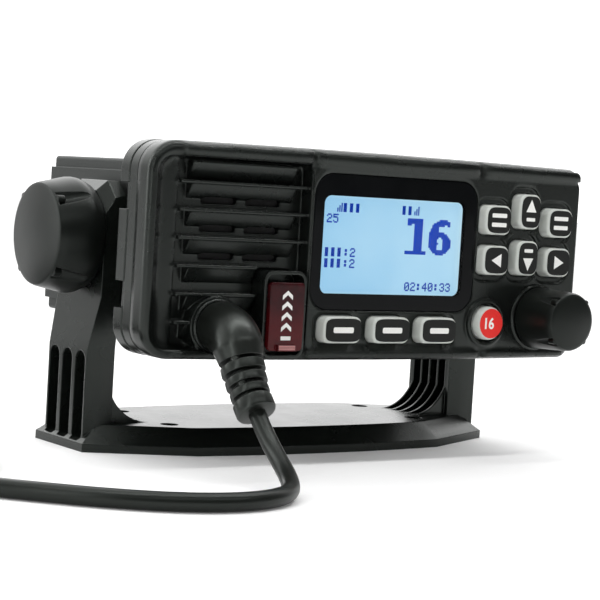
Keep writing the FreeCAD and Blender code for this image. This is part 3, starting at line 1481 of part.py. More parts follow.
def mic_key(x, y):
    z1 = mic_top()
    w, h = mic_key_width / 2, mic_key_height / 2
    cap = block(x - w, x + w, y - h, y + h, z1 - mic_wall - 0.6, z1 + mic_key_proud)
    cap = round_level(cap, z1 + mic_key_proud, 0.6)
    lip = block(x - w - 0.7, x + w + 0.7, y - h - 0.7, y + h + 0.7, z1 - mic_wall - 1.1, z1 - mic_wall - 0.3)
    return cap.fuse(lip).removeSplitter()


def mic_board():
    z1 = mic_top() - mic_wall - 1.1 - mic_key_travel - 1.6
    y_capsule = mic_boot_length + mic_length * mic_slot_place
    y1 = mic_boot_length + mic_length - mic_board_high
    board = block(-mic_board_half, mic_board_half, y_capsule - mic_board_low, y1, z1 - board_thickness, z1)
    room = mic_post_radius + mic_post_clearance
    gap = [rod((x, y, z1 - mic_front_depth), Z_AXIS, room, 2 * mic_front_depth) for x, y in mic_screw_places()]
    capsule = rod((0, y_capsule, z1 - 0.01), Z_AXIS, mic_capsule_radius, mic_top() - mic_wall - z1)
    return board.cut(gap).fuse(capsule).removeSplitter()


def mic_hang_stud():
    y = mic_boot_length + mic_length * 0.55
    z = hang_recess_depth
    profile = [(0, -2.4), (hang_stud_radius - 0.4, -2.4), (hang_stud_radius, -2.0), (hang_stud_radius, -1.2),
               (2.4, -1.2), (2.4, 0), (1.5, 0), (1.5, 2.6), (0, 2.6)]
    return turned(profile, (0, y, z), (0, 0, 1))


def mic_boot():
    """Tapered relief with rings, its tail held between the two shells."""
    r0, r1, n = mic_boot_tip, mic_boot_radius, mic_boot_length
    points = [(0, 0), (r0, 0)]
    steps = 4
    pitch = n / steps
    for i in range(steps):
        a, b = i * pitch, (i + 1) * pitch
        r = r0 + (r1 - r0) * (i + 0.5) / steps
        points += [(r, a + 0.4), (r + 0.2, b - 1.0), (r - 0.7, b - 0.9), (r - 0.7, b)]
    points = points[:-2] + [(r1, n), (r1 - 1.4, n), (r1 - 1.4, n + mic_wall + 0.2), (0, n + mic_wall + 0.2)]
    return turned(points, (0, 0, mic_axis_height), (0, 1, 0))


def mic_screws():
    items = []
    for x, y in mic_screw_places():
        top = mic_screw_sink + screw_head_height
        head = rod((x, y, mic_screw_sink), Z_AXIS, screw_head_radius, screw_head_height)
        shank = rod((x, y, top - 0.01), Z_AXIS, screw_radius, mic_split() + mic_screw_grip)
        items.append(head.fuse(shank).removeSplitter())
    return Part.makeCompound(items)


# ------------------------------------------------------------------ cord
def tube_along(points, radius):
    """Straight runs joined by tangent arcs, each as large as its two runs allow."""
    pts = [V(*p) for p in points]
    edges, radii = [], []
    start = pts[0]
    for i in range(1, len(pts) - 1):
        a, b, c = pts[i - 1], pts[i], pts[i + 1]
        u, w = (b - a), (c - b)
        shorter = min(u.Length, w.Length)
        u.normalize()
        w.normalize()
        turn = math.acos(max(-1, min(1, u.dot(w))))
        trim = 0.45 * shorter
        r = trim / math.tan(turn / 2)
        radii.append(r)
        p, q = b - u * trim, b + w * trim
        inward = (w - u)
        inward.normalize()
        centre = b + inward * (r / math.cos(turn / 2))
        mid = centre - inward * r
        edges.append(Part.LineSegment(start, p).toShape())
        edges.append(Part.Arc(p, mid, q).toShape())
        start = q
    edges.append(Part.LineSegment(start, pts[-1]).toShape())
    path = Part.Wire(edges)
    direction = pts[1] - pts[0]
    circle = Part.Wire([Part.makeCircle(radius, pts[0], direction)])
    tube = path.makePipeShell([circle], True, False, 2)
    expected = math.pi * radius ** 2 * path.Length
    print("cord length", round(path.Length, 1), "volume ratio", round(tube.Volume / expected, 4),
          "radii", [round(r, 1) for r in radii])
    return tube


def coil_edge_radius():
    return coil_mean_radius + (coil_turn_radii - 1) / 2 * cord_diameter


def cord_start():
    """The cord's first two points: the relief's end, and a little further the same way."""
    point, direction = relief_end()
    point = point + V(0, -axis_depth, face_z)
    return [tuple(point), tuple(point + direction * cord_lead)]


def mic_cord_tube():
    a = math.radians(225)
    r = coil_edge_radius()
    last = (coil_x + r * math.cos(a), coil_y + r * math.sin(a), cord_r + 0.05)
    return tube_along(cord_start() + cord_points + [last], cord_r)


def mic_cord_tail():
    r = coil_edge_radius()
    z = cord_r + (coil_layers - 1) * cord_diameter
    first = (coil_x - r, coil_y, z)
    return tube_along([first] + tail_points + [(mic_x, mic_y, mic_axis_height)], cord_r)


def mic_cord_coil():
    outer = coil_edge_radius() + cord_r
    inner = outer - coil_turn_radii * cord_diameter
    h = coil_layers * cord_diameter
    e = cord_r * 0.6
    profile = [(inner, e), (inner + e, 0), (outer - e, 0), (outer, e), (outer, h - e), (outer - e, h),
               (inner + e, h), (inner, h - e)]
    return turned(profile, (coil_x, coil_y, 0), (0, 0, 1))


# ------------------------------------------------------------------ write every node
def main():
    os.makedirs("parts", exist_ok=True)
    save("gimbal_bracket", gimbal_bracket())

    radio = {
        "front_bezel": front_bezel, "mid_frame": mid_frame, "rear_flange": rear_flange,
        "case_screws": case_screws, "case_seal": case_seal, "chassis": chassis,
        "chassis_inserts": chassis_inserts, "friction_washers": friction_washers,
        "main_board": main_board, "rf_shield": rf_shield, "board_screws": board_screws,
        "power_module": power_module, "antenna_socket": antenna_socket, "rear_glands": rear_glands,
        "display_lens": display_lens, "lcd_panel": lcd_panel, "lcd_backlight": lcd_backlight,
        "front_board": front_board, "key_mat": key_mat, "speaker_mesh": speaker_mesh,
        "volume_ring": volume_ring, "volume_knob": volume_knob, "encoder_shaft": encoder_shaft,
        "volume_encoder": volume_encoder, "alert_housing": alert_housing,
        "alert_hinge_pin": alert_hinge_pin, "alert_cover": alert_cover, "alert_button": alert_button,
        "mic_gland_ring": mic_gland_ring, "mic_elbow_boot": mic_elbow_boot, "red_key": red_key,
    }
    for name, make in radio.items():
        save(name, on_radio(make()))
    for name, shape in zip(("speaker_frame", "speaker_cone", "speaker_magnet"), speaker_parts()):
        save(name, on_radio(shape))
    for name, x, z, w, h in key_list():
        save(name, on_radio(key_cap(x, z, w, h, pad_corner)))
    for name, x, z, w, h in soft_key_list():
        save(name, on_radio(key_cap(x, z, w, h, soft_corner)))

    knob, stud = gimbal_knob_right(), gimbal_stud_right()
    save("gimbal_knob_right", knob)
    save("gimbal_knob_left", mirrored(knob))
    save("gimbal_stud_right", stud)
    save("gimbal_stud_left", mirrored(stud))

    mic = {
        "mic_front_shell": mic_front_shell, "mic_rear_shell": mic_rear_shell, "mic_talk_bar": mic_talk_bar,
        "mic_board": mic_board, "mic_hang_stud": mic_hang_stud,
        "mic_boot": mic_boot, "mic_screws": mic_screws,
    }
    for name, make in mic.items():
        save(name, at_mic(make()))
    for name, place in zip(("mic_down_key", "mic_up_key"), mic_key_places()):
        save(name, at_mic(mic_key(*place)))
    save("mic_cord_tube", mic_cord_tube())
    save("mic_cord_tail", mic_cord_tail())
    save("mic_cord_coil", mic_cord_coil())


main()
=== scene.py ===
# %% [markdown]
# # A fixed-mount marine radio
# The real object is a moulded black case that tilts between the two legs of a gimbal bracket. A
# fist microphone hangs on a round cord. The construction model already holds every solid in its
# place, so this lesson only dresses it: finishes for the solids, and thin pieces that are too
# fine for the construction model. All lengths are metres, in the model's own frame.

# %% Load the construction model
import math

import bmesh
import bpy
from mathutils import Matrix, Vector


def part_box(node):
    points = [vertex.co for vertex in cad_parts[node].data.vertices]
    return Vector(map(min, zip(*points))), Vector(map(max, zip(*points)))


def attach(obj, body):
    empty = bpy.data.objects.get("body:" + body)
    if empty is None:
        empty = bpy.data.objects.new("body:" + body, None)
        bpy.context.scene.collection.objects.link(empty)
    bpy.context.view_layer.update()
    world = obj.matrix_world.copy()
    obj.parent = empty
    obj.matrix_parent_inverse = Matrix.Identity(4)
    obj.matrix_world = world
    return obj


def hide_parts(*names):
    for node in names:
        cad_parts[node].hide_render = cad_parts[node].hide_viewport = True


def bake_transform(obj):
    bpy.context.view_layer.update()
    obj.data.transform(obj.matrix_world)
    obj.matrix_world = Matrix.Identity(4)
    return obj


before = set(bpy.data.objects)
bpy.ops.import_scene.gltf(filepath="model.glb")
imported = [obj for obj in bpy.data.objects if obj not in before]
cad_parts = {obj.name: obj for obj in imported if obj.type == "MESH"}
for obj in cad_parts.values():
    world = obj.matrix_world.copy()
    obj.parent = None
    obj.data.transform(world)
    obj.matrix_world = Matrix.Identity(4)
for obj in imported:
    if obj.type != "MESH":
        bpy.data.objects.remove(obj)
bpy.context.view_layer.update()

MM = 0.001
scene = bpy.context.scene

# %% [markdown]
# ## Places on the face
# Keys, lens and legends are laid out on the radio's face, so it has a frame of its own: x to the
# right, y into the case from the front rim, z up from the middle of the face, in millimetres.
# One short function turns such a place into the model's frame.

# %% The face's own frame
FACE_ORIGIN = Vector((0, -52.5, 62.3))


def on_face(x, y, z):
    return (FACE_ORIGIN + Vector((x, y, z))) * MM


print("front rim at y =", round(on_face(0, 0, 0).y, 4))

# %% [markdown]
# ## Camera
# A long lens close to level gives the calm look of a product picture. The camera is aimed with
# three angles, turn, drop and roll, because they are easier to adjust than a matrix. A small
# shift of the lens centres the object and leaves the perspective alone.

# %% Camera
CAMERA_PLACE = Vector((-0.34017, -0.49299, 0.08146))
CAMERA_TURN, CAMERA_DROP, CAMERA_ROLL = (math.radians(a) for a in (-35.38, 3.397, 3.483))
aim = Matrix.Rotation(CAMERA_TURN, 4, "Z") @ Matrix.Rotation(math.pi / 2 - CAMERA_DROP, 4, "X")
aim = aim @ Matrix.Rotation(CAMERA_ROLL, 4, "Z")
camera = bpy.data.objects.new("camera", bpy.data.cameras.new("camera"))
camera.data.lens = 110.93
camera.data.shift_x = -0.00433
camera.data.shift_y = -0.002
camera.matrix_world = Matrix.Translation(CAMERA_PLACE) @ aim
scene.collection.objects.link(camera)
scene.camera = camera
print("camera looks along", [round(v, 3) for v in aim @ Vector((0, 0, -1))])

# %% [markdown]
# ## Short ways to write node trees
# A node tree is easier to read when each node is one line. `add` makes a node, sets its options
# and fills its inputs, each with a value or with another node's output. It serves the materials
# and the Geometry Nodes trees alike. The short helpers after it are for what most finishes need:
# sums, blends, noise, bumps and rounded edges.


# %% Node helpers
def fill(tree, node, inputs):
    """Give inputs of a node their values: numbers, colours or other nodes' outputs."""
    for name, value in inputs.items():
        socket = node.inputs[name]
        if isinstance(value, bpy.types.NodeSocket):
            tree.links.new(value, socket)
        else:
            socket.default_value = value


def add(tree, kind, inputs=None, **options):
    node = tree.nodes.new(kind)
    for name, value in options.items():
        setattr(node, name, value)
    fill(tree, node, inputs or {})
    return node


def calculate(tree, operation, *values):
    """One Math node; values are numbers or outputs."""
    node = add(tree, "ShaderNodeMath", dict(enumerate(values)), operation=operation)
    return node.outputs[0]


def calculate_vector(tree, operation, *values):
    """One Vector Math node. A dot product or a length comes out as a number."""
    node = add(tree, "ShaderNodeVectorMath", dict(enumerate(values)), operation=operation)
    return node.outputs["Value" if operation in ("DOT_PRODUCT", "LENGTH") else "Vector"]


def blend_colour(tree, factor, low, high):
    """One Mix node. Its colours go into the sockets 6 and 7, and come out of socket 2."""
    low, high = (c if isinstance(c, bpy.types.NodeSocket) else (*c[:3], 1) for c in (low, high))
    return add(tree, "ShaderNodeMix", {0: factor, 6: low, 7: high}, data_type="RGBA").outputs[2]


def remap(tree, value, low, high, to_low, to_high):
    """One Map Range node, held between its ends."""
    sockets = {"Value": value, "From Min": low, "From Max": high, "To Min": to_low, "To Max": to_high}
    return add(tree, "ShaderNodeMapRange", sockets).outputs[0]


def start_material(name):
    material = bpy.data.materials.new(name)
    material.use_nodes = True
    tree = material.node_tree
    place = add(tree, "ShaderNodeTexCoord").outputs["Object"]
    return material, tree, tree.nodes["Principled BSDF"], place


def noise(tree, place, size_mm, detail=2.0):
    """Noise whose blotches are about size_mm across."""
    sockets = {"Vector": place, "Scale": 1 / (size_mm * MM), "Detail": detail}
    return add(tree, "ShaderNodeTexNoise", sockets).outputs[0]


def spread(tree, blotches, to_low, to_high):
    """Noise stays mostly between 0.3 and 0.7; this stretches that range over two values."""
    return remap(tree, blotches, 0.3, 0.7, to_low, to_high)


def rounded_edge(tree, radius_mm, samples):
    """A normal that rounds the edges, in the shading only."""
    return add(tree, "ShaderNodeBevel", {"Radius": radius_mm * MM}, samples=samples).outputs[0]


def bumped(tree, height, depth_mm, over=None):
    """A normal with bumps depth_mm deep, laid over another normal where one is given."""
    sockets = {"Height": height, "Distance": depth_mm * MM}
    if over is not None:
        sockets["Normal"] = over
    return add(tree, "ShaderNodeBump", sockets).outputs[0]


# %% [markdown]
# ## Stage and light
# The radio stands on a plain pale floor in a white room. The room is brighter behind the object
# and overhead than in front of it: a black satin case shows mostly what it mirrors, and that
# difference draws its edges. The camera itself sees the room as plain white. The floor has a
# faint glow for rays that come to the camera straight, or by way of gloss or glass. So the page
# stays white while the lamps stay moderate.


# %% Floor
FLOOR_HALF, FLOOR_Z = 6.0, -0.02 * MM
FLOOR_DARK, FLOOR_PALE = (0.86, 0.86, 0.86), (0.9, 0.9, 0.9)
FLOOR_GLOW = 0.10


def clear_rays(tree):
    """1 for rays that the camera sees directly, in gloss or through glass."""
    path = add(tree, "ShaderNodeLightPath").outputs
    seen = calculate(tree, "MAXIMUM", path["Is Camera Ray"], path["Is Transmission Ray"])
    return calculate(tree, "MAXIMUM", seen, path["Is Glossy Ray"])


def floor_material():
    material, tree, bsdf, place = start_material("floor_paper")
    paper = blend_colour(tree, noise(tree, place, 2.0, 3), FLOOR_DARK, FLOOR_PALE)
    fill(tree, bsdf, {"Base Color": paper, "Roughness": 0.9})
    strength = calculate(tree, "MULTIPLY", clear_rays(tree), FLOOR_GLOW)
    glow = add(tree, "ShaderNodeEmission", {"Color": (1, 1, 1, 1), "Strength": strength})
    total = add(tree, "ShaderNodeAddShader", {0: bsdf.outputs[0], 1: glow.outputs[0]})
    tree.links.new(total.outputs[0], tree.nodes["Material Output"].inputs["Surface"])
    return material


def place_mesh(name, mesh):
    piece = bpy.data.objects.new(name, mesh)
    scene.collection.objects.link(piece)
    return piece


floor_mesh = bpy.data.meshes.new("floor")
corners = [(u * FLOOR_HALF, v * FLOOR_HALF, FLOOR_Z) for u, v in ((-1, -1), (1, -1), (1, 1), (-1, 1))]
floor_mesh.from_pydata(corners, [], [(0, 1, 2, 3)])
floor = place_mesh("floor", floor_mesh)
floor.data.materials.append(floor_material())
print("floor:", 2 * FLOOR_HALF, "m square")

# %% Room
# Each band goes from one place along a direction to another, and between the strengths there.
BACK_BAND = (-0.2, 0.75, 0.05, 1.0)
RIGHT_BAND = (-0.35, 0.15, 0.75, 1.6)
TOP_BAND = (0.1, 0.5, 0.0, 1.5)
TOP_BACK_BAND = (-0.1, 0.5, 0.05, 1.0)


def room_light():
    """A room that is bright at its back, more so to the right, and overhead."""
    world = bpy.data.worlds.new("room")
    world.use_nodes = True
    tree = world.node_tree
    way = add(tree, "ShaderNodeTexCoord").outputs["Generated"]
    parts = add(tree, "ShaderNodeSeparateXYZ", {0: way}).outputs
    right = remap(tree, parts["X"], *RIGHT_BAND)
    back = calculate(tree, "MULTIPLY", remap(tree, parts["Y"], *BACK_BAND), right)
    top = calculate(tree, "MULTIPLY", remap(tree, parts["Z"], *TOP_BAND),
                    remap(tree, parts["Y"], *TOP_BACK_BAND))
    lit = calculate(tree, "ADD", back, top)
    seen = add(tree, "ShaderNodeLightPath").outputs["Is Camera Ray"]
    strength = calculate(tree, "MAXIMUM", lit, seen)
    fill(tree, tree.nodes["Background"], {"Strength": strength, "Color": (1, 1, 1, 1)})
    return world


scene.world = room_light()
scene.view_settings.view_transform = "Standard"
print("room:", RIGHT_BAND[3], "at the back,", TOP_BAND[3], "overhead")


# %% Lamps
RADIO_MIDDLE = Vector((0.0, -0.02, 0.05))


def soft_box(name, place, size, power):
    """A rectangular lamp that points at the radio."""
    lamp = bpy.data.lights.new(name, "AREA")
    lamp.shape = "RECTANGLE"
    lamp.size, lamp.size_y = size
    lamp.energy = power
    holder = bpy.data.objects.new(name, lamp)
    holder.location = place
    holder.rotation_euler = (RADIO_MIDDLE - Vector(place)).to_track_quat("-Z", "Y").to_euler()
    scene.collection.objects.link(holder)


soft_box("strip_overhead", (0.0, -0.2, 1.0), (1.6, 0.10), 6.5)
soft_box("strip_front", (0.0, -0.8, 0.75), (1.4, 0.06), 2)
soft_box("strip_left", (-0.9, 0.55, 0.45), (0.12, 1.0), 3.5)
soft_box("strip_left_front", (-1.1, -0.55, 0.4), (0.06, 1.0), 3)


# %% [markdown]
# ## Baking Geometry Nodes to plain meshes
# What repeats, or follows a path, is made by a Geometry Nodes tree with named inputs. The tree
# runs once on a helper object, its result becomes a plain mesh, and the helper goes. That way
# the finished piece can ride on a moving part, and nothing live is left behind.


# %% Tree helpers
def start_tree(name, sockets):
    """A tree with a geometry input and output, and named inputs (name, kind, value)."""
    tree = bpy.data.node_groups.new(name, "GeometryNodeTree")
    tree.interface.new_socket("Geometry", in_out="INPUT", socket_type="NodeSocketGeometry")
    for label, kind, value in sockets:
        socket = tree.interface.new_socket(label, in_out="INPUT", socket_type="NodeSocket" + kind)
        if value is not None:
            socket.default_value = value
    tree.interface.new_socket("Geometry", in_out="OUTPUT", socket_type="NodeSocketGeometry")
    return tree, tree.nodes.new("NodeGroupInput").outputs


def end_tree(tree, geometry, material):
    """Every tree ends the same way: real geometry, with its material on it."""
    real = add(tree, "GeometryNodeRealizeInstances", {0: geometry})
    painted = add(tree, "GeometryNodeSetMaterial", {"Geometry": real.outputs[0], "Material": material})
    out = tree.nodes.new("NodeGroupOutput")
    tree.links.new(painted.outputs[0], out.inputs[0])


def bake(helper):
    """What a helper object shows, as a plain mesh. The helper goes."""
    scene.collection.objects.link(helper)
    mesh = bpy.data.meshes.new_from_object(helper.evaluated_get(bpy.context.evaluated_depsgraph_get()))
    bpy.data.objects.remove(helper)
    return mesh


def grow(name, tree, values, source=None):
    """Run a tree on a source (or on nothing) and keep its result as a plain mesh."""
    helper = bpy.data.objects.new(name + "_helper", source or bpy.data.meshes.new(name + "_empty"))
    modifier = helper.modifiers.new("grow", "NODES")
    modifier.node_group = tree
    for item in tree.interface.items_tree:
        if item.item_type == "SOCKET" and item.in_out == "INPUT" and item.name in values:
            modifier[item.identifier] = values[item.name]
    mesh = bake(helper)
    mesh.name = name
    return place_mesh(name, mesh)


# %% [markdown]
# ## Moulded plastic
# The case and the bracket are injection moulded, with a fine spark-eroded grain. Three things
# make that believable: a grain finer than a millimetre in the bump, a slow cloudiness in colour
# and gloss where hands have been, and edges that catch light because no moulded edge is sharp.
# The Bevel node rounds the edges in the shading only, and the angle between the rounded and the
# true normal also tells where the surface is rubbed a little paler.


# %% A moulded finish
GREENISH_SHINE = (0.92, 1.0, 0.94, 1)
DARKER, LIGHTER, RUBBED, RUBBED_HAZE = 0.82, 1.2, 1.6, 0.045


def moulded(name, colour, roughness, grain_mm=0.45, depth_mm=0.010, edge_mm=0.45, rub=0.25, shine=0.36):
    material, tree, bsdf, place = start_material(name)
    cloud = noise(tree, place, 14, 3)
    grain = noise(tree, place, grain_mm, 3)
    edge = rounded_edge(tree, edge_mm, 16)
    true = add(tree, "ShaderNodeNewGeometry").outputs["Normal"]
    worn = remap(tree, calculate_vector(tree, "DOT_PRODUCT", edge, true), 1.0, 0.9, 0.0, rub)
    worn = calculate(tree, "MULTIPLY", worn, spread(tree, cloud, 0.7, 1.0))
    tint = blend_colour(tree, cloud, [c * DARKER for c in colour], [c * LIGHTER for c in colour])
    pale = [c * RUBBED + RUBBED_HAZE for c in colour]
    fill(tree, bsdf, {
        "Base Color": blend_colour(tree, worn, tint, pale),
        "Roughness": spread(tree, cloud, roughness - 0.02, roughness + 0.025),
        "Specular IOR Level": shine, "Specular Tint": GREENISH_SHINE,
        "Normal": bumped(tree, grain, depth_mm, edge)})
    return material


CASE = moulded("case_black", (0.0052, 0.0062, 0.0056), 0.27)
BEZEL_EDGE, SHOULDER_EDGE = 0.9, 3.0
BEZEL = moulded("bezel_black", (0.0052, 0.0062, 0.0056), 0.27, edge_mm=BEZEL_EDGE, rub=0.0)
# The shoulder's beginning and end, in metres: at the top, at the left and at the foot.
SHOULDER = (("Z", 0.0855, 0.0890), ("X", -0.0690, -0.0730), ("Z", 0.0385, 0.0350))


def soften_shoulder(material):
    """The rounding in the shading grows towards the bezel's outer border."""
    tree = material.node_tree
    edge = next(node for node in tree.nodes if node.type == "BEVEL")
    place = next(node for node in tree.nodes if node.type == "TEX_COORD").outputs["Object"]
    parts = add(tree, "ShaderNodeSeparateXYZ", {0: place}).outputs
    top, left, foot = (remap(tree, parts[way], start, end, BEZEL_EDGE * MM, SHOULDER_EDGE * MM)
                       for way, start, end in SHOULDER)
    widest = calculate(tree, "MAXIMUM", calculate(tree, "MAXIMUM", top, left), foot)
    tree.links.new(widest, edge.inputs["Radius"])


soften_shoulder(BEZEL)
BRACKET = moulded("bracket_black", (0.0060, 0.0074, 0.0064), 0.26, depth_mm=0.006)
KNOB = moulded("knob_black", (0.0045, 0.0054, 0.0048), 0.36, depth_mm=0.016, shine=0.24)
RUBBER = moulded("soft_rubber", (0.006, 0.007, 0.006), 0.33, grain_mm=0.7, depth_mm=0.008, edge_mm=0.25,
                 shine=0.50)
CORD = moulded("cord_jacket", (0.006, 0.007, 0.006), 0.33, grain_mm=0.9, edge_mm=0.1, shine=0.28)
CAST = moulded("cast_black", (0.012, 0.013, 0.013), 0.50, grain_mm=0.9, depth_mm=0.03)
MIC = moulded("mic_black", (0.0060, 0.0070, 0.0066), 0.32)
print("finishes so far:", len(bpy.data.materials))

# %% [markdown]
# ## Metal, boards and inner parts
# Little of these shows, but each piece keeps a finish of its own. Metal is the same recipe with
# metalness up and a stretched noise for the brushed or turned direction. A board is green
# lacquer over a square pattern of copper.


# %% Inner finishes
def metal(name, colour, roughness, stretch=(1, 1, 14)):
    material, tree, bsdf, place = start_material(name)
    drawn = add(tree, "ShaderNodeMapping", {"Vector": place, "Scale": stretch}).outputs[0]
    lines = noise(tree, drawn, 0.8, 4)
    fill(tree, bsdf, {
        "Base Color": blend_colour(tree, lines, [c * 0.85 for c in colour], colour),
        "Metallic": 1.0,
        "Roughness": spread(tree, lines, roughness - 0.06, roughness + 0.08),
        "Normal": bumped(tree, lines, 0.004)})
    return material


def board_lacquer():
    material, tree, bsdf, place = start_material("board_lacquer")
    tracks = add(tree, "ShaderNodeTexBrick", {
        "Vector": place, "Scale": 180.0, "Mortar Size": 0.03, "Color1": (0.02, 0.16, 0.07, 1),
        "Color2": (0.03, 0.20, 0.09, 1), "Mortar": (0.10, 0.30, 0.14, 1)}).outputs
    fill(tree, bsdf, {
        "Base Color": tracks["Color"],
        "Roughness": spread(tree, noise(tree, place, 6), 0.25, 0.4),
        "Normal": bumped(tree, tracks["Fac"], 0.02)})
    return material


def fibre(name, colour):
    material, tree, bsdf, place = start_material(name)
    felt = noise(tree, place, 0.6, 5)
    fill(tree, bsdf, {
        "Base Color": blend_colour(tree, felt, [c * 0.7 for c in colour], colour),
        "Roughness": spread(tree, felt, 0.75, 0.9),
        "Normal": bumped(tree, felt, 0.05)})
    return material


STEEL = metal("steel", (0.55, 0.55, 0.56), 0.32)
NICKEL = metal("nickel_plate", (0.60, 0.58, 0.52), 0.26, (1, 14, 1))
BRASS = metal("brass", (0.70, 0.53, 0.26), 0.30, (14, 1, 1))
BOARD = board_lacquer()
PAPER = fibre("cone_paper", (0.03, 0.03, 0.03))
MESH_CLOTH = fibre("speaker_cloth", (0.008, 0.008, 0.008))
DIFFUSER = fibre("backlight_white", (0.72, 0.74, 0.76))
print("finishes so far:", len(bpy.data.materials))


# %% [markdown]
# ## Dressing the solids
# The solids of the construction model keep their shape and only get a finish. Their meshes are
# loose flat triangles, so a round corner would show its facets in a reflection. A small
# Geometry Nodes modifier welds them and shades them smooth, except across edges that turn more
# than a set angle. The mesh itself isn't touched.


# %% Smooth shading by angle
def smoothing_tree():
    sockets = (("Weld", "Float", 0.002 * MM), ("Sharp above", "Float", 0.5))
    tree, given = start_tree("smooth_by_angle", sockets)
    welded = add(tree, "GeometryNodeMergeByDistance",
                 {"Geometry": given["Geometry"], "Distance": given["Weld"]})
    smooth = add(tree, "GeometryNodeSetShadeSmooth", {"Geometry": welded.outputs[0], "Shade Smooth": True})
    angle = add(tree, "GeometryNodeInputMeshEdgeAngle").outputs["Unsigned Angle"]
    sharp = add(tree, "FunctionNodeCompare", {0: angle, 1: given["Sharp above"]}, operation="GREATER_THAN")
    creased = add(tree, "GeometryNodeSetShadeSmooth",
                  {"Geometry": smooth.outputs[0], "Selection": sharp.outputs[0], "Shade Smooth": False},
                  domain="EDGE")
    out = tree.nodes.new("NodeGroupOutput")
    tree.links.new(creased.outputs[0], out.inputs[0])
    return tree


SMOOTHING = smoothing_tree()


def dress(material, *names):
    for name in names:
        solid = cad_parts[name]
        if not solid.material_slots:
            solid.data.materials.append(material)
        for slot in solid.material_slots:
            slot.material = material
        solid.modifiers.new("smooth", "NODES").node_group = SMOOTHING


dress(BEZEL, "front_bezel")
dress(CASE, "mid_frame", "rear_flange", "alert_housing", "volume_ring", "mic_gland_ring")
dress(BRACKET, "gimbal_bracket")
dress(KNOB, "gimbal_knob_right", "gimbal_knob_left", "volume_knob")
dress(RUBBER, "mic_elbow_boot", "mic_boot", "case_seal", "friction_washers", "key_mat", "rear_glands",
      "mic_talk_bar")
dress(CAST, "chassis")
dress(MIC, "mic_front_shell", "mic_rear_shell")
dress(STEEL, "gimbal_stud_right", "gimbal_stud_left", "case_screws", "board_screws", "encoder_shaft",
      "alert_hinge_pin", "mic_screws", "speaker_frame", "speaker_magnet", "rf_shield", "mic_hang_stud")
dress(NICKEL, "antenna_socket")
dress(BRASS, "chassis_inserts")
dress(BOARD, "main_board", "front_board", "mic_board", "power_module", "volume_encoder")
dress(PAPER, "speaker_cone")
dress(MESH_CLOTH, "speaker_mesh")
dress(DIFFUSER, "lcd_backlight")
print("solids dressed:", sum(len(solid.modifiers) > 0 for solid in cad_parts.values()))

# %% [markdown]
# ## Keys
# A key is one clear-white rubber cap that the backlight shines through, with a black print on
# its front that leaves a narrow pale rim. The cap needs a little light inside it, so it gets
# some subsurface scattering. The prints are real films a few hundredths of a millimetre thick:
# as geometry they stay sharp from any distance and move with their key.


# %% Key rubber and printing inks
def key_rubber(name, colour, glow):
    material, tree, bsdf, place = start_material(name)
    cloud = noise(tree, place, 5, 2)
    grain = noise(tree, place, 0.5, 2)
    tint = blend_colour(tree, cloud, [c * 0.9 for c in colour], colour)
    fill(tree, bsdf, {
        "Base Color": tint,
        "Roughness": spread(tree, cloud, 0.32, 0.42),
        "Subsurface Weight": 0.35, "Subsurface Radius": (0.9, 0.9, 0.8), "Subsurface Scale": 1.2 * MM,
        "Emission Color": tint, "Emission Strength": glow,
        "Normal": bumped(tree, grain, 0.006, rounded_edge(tree, 0.5, 4))})
    return material


def ink(name, colour, roughness, glow=0.0):
    """Printing ink, and the painted shade in the screw recesses: nearly even, with the faint mottle of a pad
    print.
    """
    material, tree, bsdf, place = start_material(name)
    mottle = noise(tree, place, 0.7, 3)
    tint = blend_colour(tree, mottle, [c * 0.86 for c in colour], colour)
    fill(tree, bsdf, {
        "Base Color": tint,
        "Roughness": spread(tree, mottle, roughness - 0.05, roughness + 0.05),
        "Specular IOR Level": 0.15,
        "Normal": bumped(tree, mottle, 0.003)})
    if glow:
        fill(tree, bsdf, {"Emission Color": tint, "Emission Strength": glow})
    return material


KEY = key_rubber("key_rubber", (0.56, 0.585, 0.55), 0.06)
INK_BLACK = ink("ink_black", (0.014, 0.015, 0.014), 0.42)
# The white ink glows a little. On the keys this stands for their backlight; on the guard's sign and the
# microphone's arrows it is painted light.
INK_WHITE = ink("ink_white", (0.86, 0.86, 0.83), 0.45, 0.10)
INK_RED = ink("ink_red", (0.78, 0.035, 0.030), 0.40, 0.05)
PAD_KEYS = [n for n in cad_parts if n.startswith("pad_key_")]
SOFT_KEYS = [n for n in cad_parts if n.startswith("soft_key_")]
dress(KEY, "red_key", "alert_button", *PAD_KEYS, *SOFT_KEYS)
print("keys:", len(PAD_KEYS), "on the pad,", len(SOFT_KEYS), "under the display")


# %% [markdown]
# ## Films with round corners
# Bars and ridges are the same thing: a rounded rectangle, repeated along a line. One tree makes
# them. A quadrilateral curve is filleted, filled and thickened, then set on each point of a
# line. Its inputs are the sizes, so one tree serves the white bars of the legends and the
# ridges on the guard's tab.


